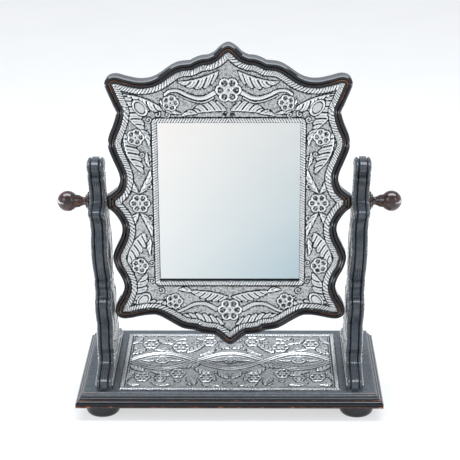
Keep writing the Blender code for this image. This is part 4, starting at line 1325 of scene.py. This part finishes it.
@dataclass
class Studio:
    """A pale floor, soft lights and the camera."""

    camera_place: tuple = (0.0331, -1.7534, 0.8665)
    pitch: float = 0.35723
    yaw: float = 0.01853
    roll: float = -0.00701
    lens: float = 117.39
    floor_half: float = 9.0
    floor_glow: float = 0.62
    key_tint: tuple = (0.90, 0.95, 1.0)

    def build(self) -> None:
        """Everything that isn't part of the object."""
        self.build_floor()
        self.build_sky()
        self.build_lights()
        self.build_camera()

    def build_floor(self) -> None:
        """One large pale plane that glows a little, so that it stays white under soft light."""
        half = self.floor_half
        mesh = bpy.data.meshes.new("floor")
        corners = [(-half, -half, 0), (half, -half, 0), (half, half, 0), (-half, half, 0)]
        mesh.from_pydata(corners, [], [(0, 1, 2, 3)])
        nodes = Nodes("pale_floor")
        tone = nodes.noise(6.0, 3.0)
        colour = nodes.ramp(tone, ((0.3, (0.30, 0.302, 0.305)), (0.7, (0.32, 0.32, 0.32))))
        nodes.set(Base_Color=colour, Roughness=0.9, Specular_IOR_Level=0.1,
                  Emission_Color=(1.0, 1.0, 1.0, 1.0), Emission_Strength=self.floor_glow)
        mesh.materials.append(nodes.material)
        floor = bpy.data.objects.new("floor", mesh)
        bpy.context.scene.collection.objects.link(floor)

    def build_sky(self) -> None:
        """Soft light from all round: brightest a little above the horizon and dim overhead."""
        world = bpy.data.worlds.new("studio")
        bpy.context.scene.world = world
        world.use_nodes = True
        tree = world.node_tree
        place = tree.nodes.new("ShaderNodeTexCoord")
        axes = tree.nodes.new("ShaderNodeSeparateXYZ")
        ramp = tree.nodes.new("ShaderNodeValToRGB")
        tree.links.new(place.outputs["Generated"], axes.inputs[0])
        tree.links.new(axes.outputs["Z"], ramp.inputs["Fac"])
        elements = ramp.color_ramp.elements
        for at in (0.25, 0.5):
            elements.new(at)
        for element, colour in zip(elements, ((0.55, 0.60, 0.66), (0.75, 0.82, 0.90), (0.62, 0.67, 0.73),
                                              (0.28, 0.30, 0.33))):
            element.color = (*colour, 1.0)
        tree.links.new(ramp.outputs["Color"], tree.nodes["Background"].inputs["Color"])
        tree.nodes["Background"].inputs["Strength"].default_value = 1.0

    def add_light(self, name: str, place: tuple, aim: tuple, size: tuple, power: float, tint: tuple) -> None:
        """A soft rectangular light aimed at a point."""
        data = bpy.data.lights.new(name, "AREA")
        data.shape, data.size, data.size_y = "RECTANGLE", size[0], size[1]
        data.energy, data.color = power, tint
        made = bpy.data.objects.new(name, data)
        made.visible_camera = False
        made.matrix_world = (Matrix.Translation(place)
                             @ (Vector(place) - Vector(aim)).to_track_quat("Z", "Y").to_matrix().to_4x4())
        bpy.context.scene.collection.objects.link(made)

    def build_lights(self) -> None:
        """A broad light overhead, one at each front side, and a low one at each side for the edges."""
        aim = (0.0, 0.0, 0.2)
        self.add_light("overhead", (0.0, 0.2, 1.9), (0.0, 0.2, 0.0), (2.8, 0.8), 62.0, self.key_tint)
        self.add_light("left_front", (-1.6, -1.3, 1.5), aim, (0.8, 1.1), 9.0, self.key_tint)
        self.add_light("right_front", (1.7, -1.2, 1.3), aim, (0.5, 1.1), 5.0, self.key_tint)
        self.add_light("left_low", (-0.95, -0.1, 0.05), (0.0, 0.0, 0.32), (1.3, 0.22), 8.0, self.key_tint)
        self.add_light("right_low", (0.95, -0.1, 0.05), (0.0, 0.0, 0.32), (1.3, 0.22), 6.0, self.key_tint)

    def build_camera(self) -> None:
        """The camera: forward from pitch and yaw, then rolled about it."""
        level_part = math.cos(self.pitch)
        forward = Vector((-math.sin(self.yaw) * level_part, math.cos(self.yaw) * level_part,
                          -math.sin(self.pitch)))
        level = Vector((math.cos(self.yaw), math.sin(self.yaw), 0.0))
        upright = level.cross(forward)
        right = math.cos(self.roll) * level + math.sin(self.roll) * upright
        up = -math.sin(self.roll) * level + math.cos(self.roll) * upright
        data = bpy.data.cameras.new("camera")
        data.lens, data.sensor_width = self.lens, 36.0
        made = bpy.data.objects.new("camera", data)
        turn = Matrix((right, up, -forward)).transposed().to_4x4()
        made.matrix_world = Matrix.Translation(self.camera_place) @ turn
        bpy.context.scene.collection.objects.link(made)
        bpy.context.scene.camera = made


# ---------------------------------------------------------------------------- the whole object


def dress_hardware(materials: dict[Slot, bpy.types.Material]) -> None:
    """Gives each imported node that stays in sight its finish, by its slot in the record."""
    slots = {part["node"]: part["material_slot"] for part in frame["record"]["subparts"]}
    for name, node in frame["nodes"].items():
        if node.hide_render:
            continue
        node.data.materials.clear()
        node.data.materials.append(materials[Slot(slots[name])])
        log.info("%s: finish %s", name, slots[name])


def main() -> None:
    """Builds the looks in order, from the frame outwards."""
    logging.basicConfig(level=logging.INFO, format="%(message)s")
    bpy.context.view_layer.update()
    bpy.context.scene.view_settings.view_transform = "Standard"
    tilt = next(joint for joint in frame["joints"] if joint["name"] == "mirror_tilt")
    pivot_y, pivot_height = (place / MM for place in tilt["pos_m"][1:])
    worn, silver, wood = Lacquer().material(), EmbossedSilver().material(), TurnedWood().material()
    # painted sheen: a lighter black standing in for the sheen the flat base top and the uprights catch from the
    # lights
    painted_sheen = Lacquer(name="painted_sheen_lacquer", black=(0.036, 0.042, 0.049)).material()
    materials = {
        Slot.LACQUER: Lacquer(name="plain_lacquer", worn=False).material(),
        Slot.GLASS: SilveredGlass().material(),
        Slot.CARD: Stock("packing_card", (0.30, 0.22, 0.14), (0.42, 0.32, 0.22), 0.9, 0.0, 900.0).material(),
        Slot.PANEL: Stock("back_panel_wood", (0.045, 0.016, 0.009), (0.16, 0.06, 0.03), 0.4, 0.0, 300.0,
                          (1.0, 1.0, 0.06)).material(),
        Slot.STEEL: Stock("hardware_steel", (0.42, 0.42, 0.43), (0.60, 0.60, 0.61), 0.3, 1.0,
                          700.0).material(),
        Slot.BRASS: Stock("hardware_brass", (0.50, 0.33, 0.12), (0.74, 0.54, 0.24), 0.3, 1.0,
                          700.0).material(),
        Slot.LEATHER: Stock("washer_leather", (0.07, 0.03, 0.015), (0.18, 0.09, 0.05), 0.7, 0.0,
                            1500.0).material(),
        Slot.SILVER: silver,
        Slot.KNOB: wood,
    }
    zero_height = pivot_height + OUTLINE_RISE
    mirror_frame = MirrorFrame(worn, silver, zero_height)
    mirror_frame.build_board()
    mirror_frame.build_moulding()
    mirror_frame.build_silver()
    for side_name in SIDES:
        # the uprights' boards take the lighter black of painted sheen
        upright = Upright(side_name, painted_sheen, silver, zero_height, pivot_y)
        upright.build_board()
        for face in ("inner", "outer"):
            upright.build_plate(face)
        Knob(side_name, wood, pivot_y, pivot_height).build()
    base = Base(worn, painted_sheen, silver)
    base.build_mouldings()
    base.build_top()
    base.build_feet()
    base.build_sheet()
    dress_hardware(materials)
    Studio().build()


if __name__ == "__main__":
    main()
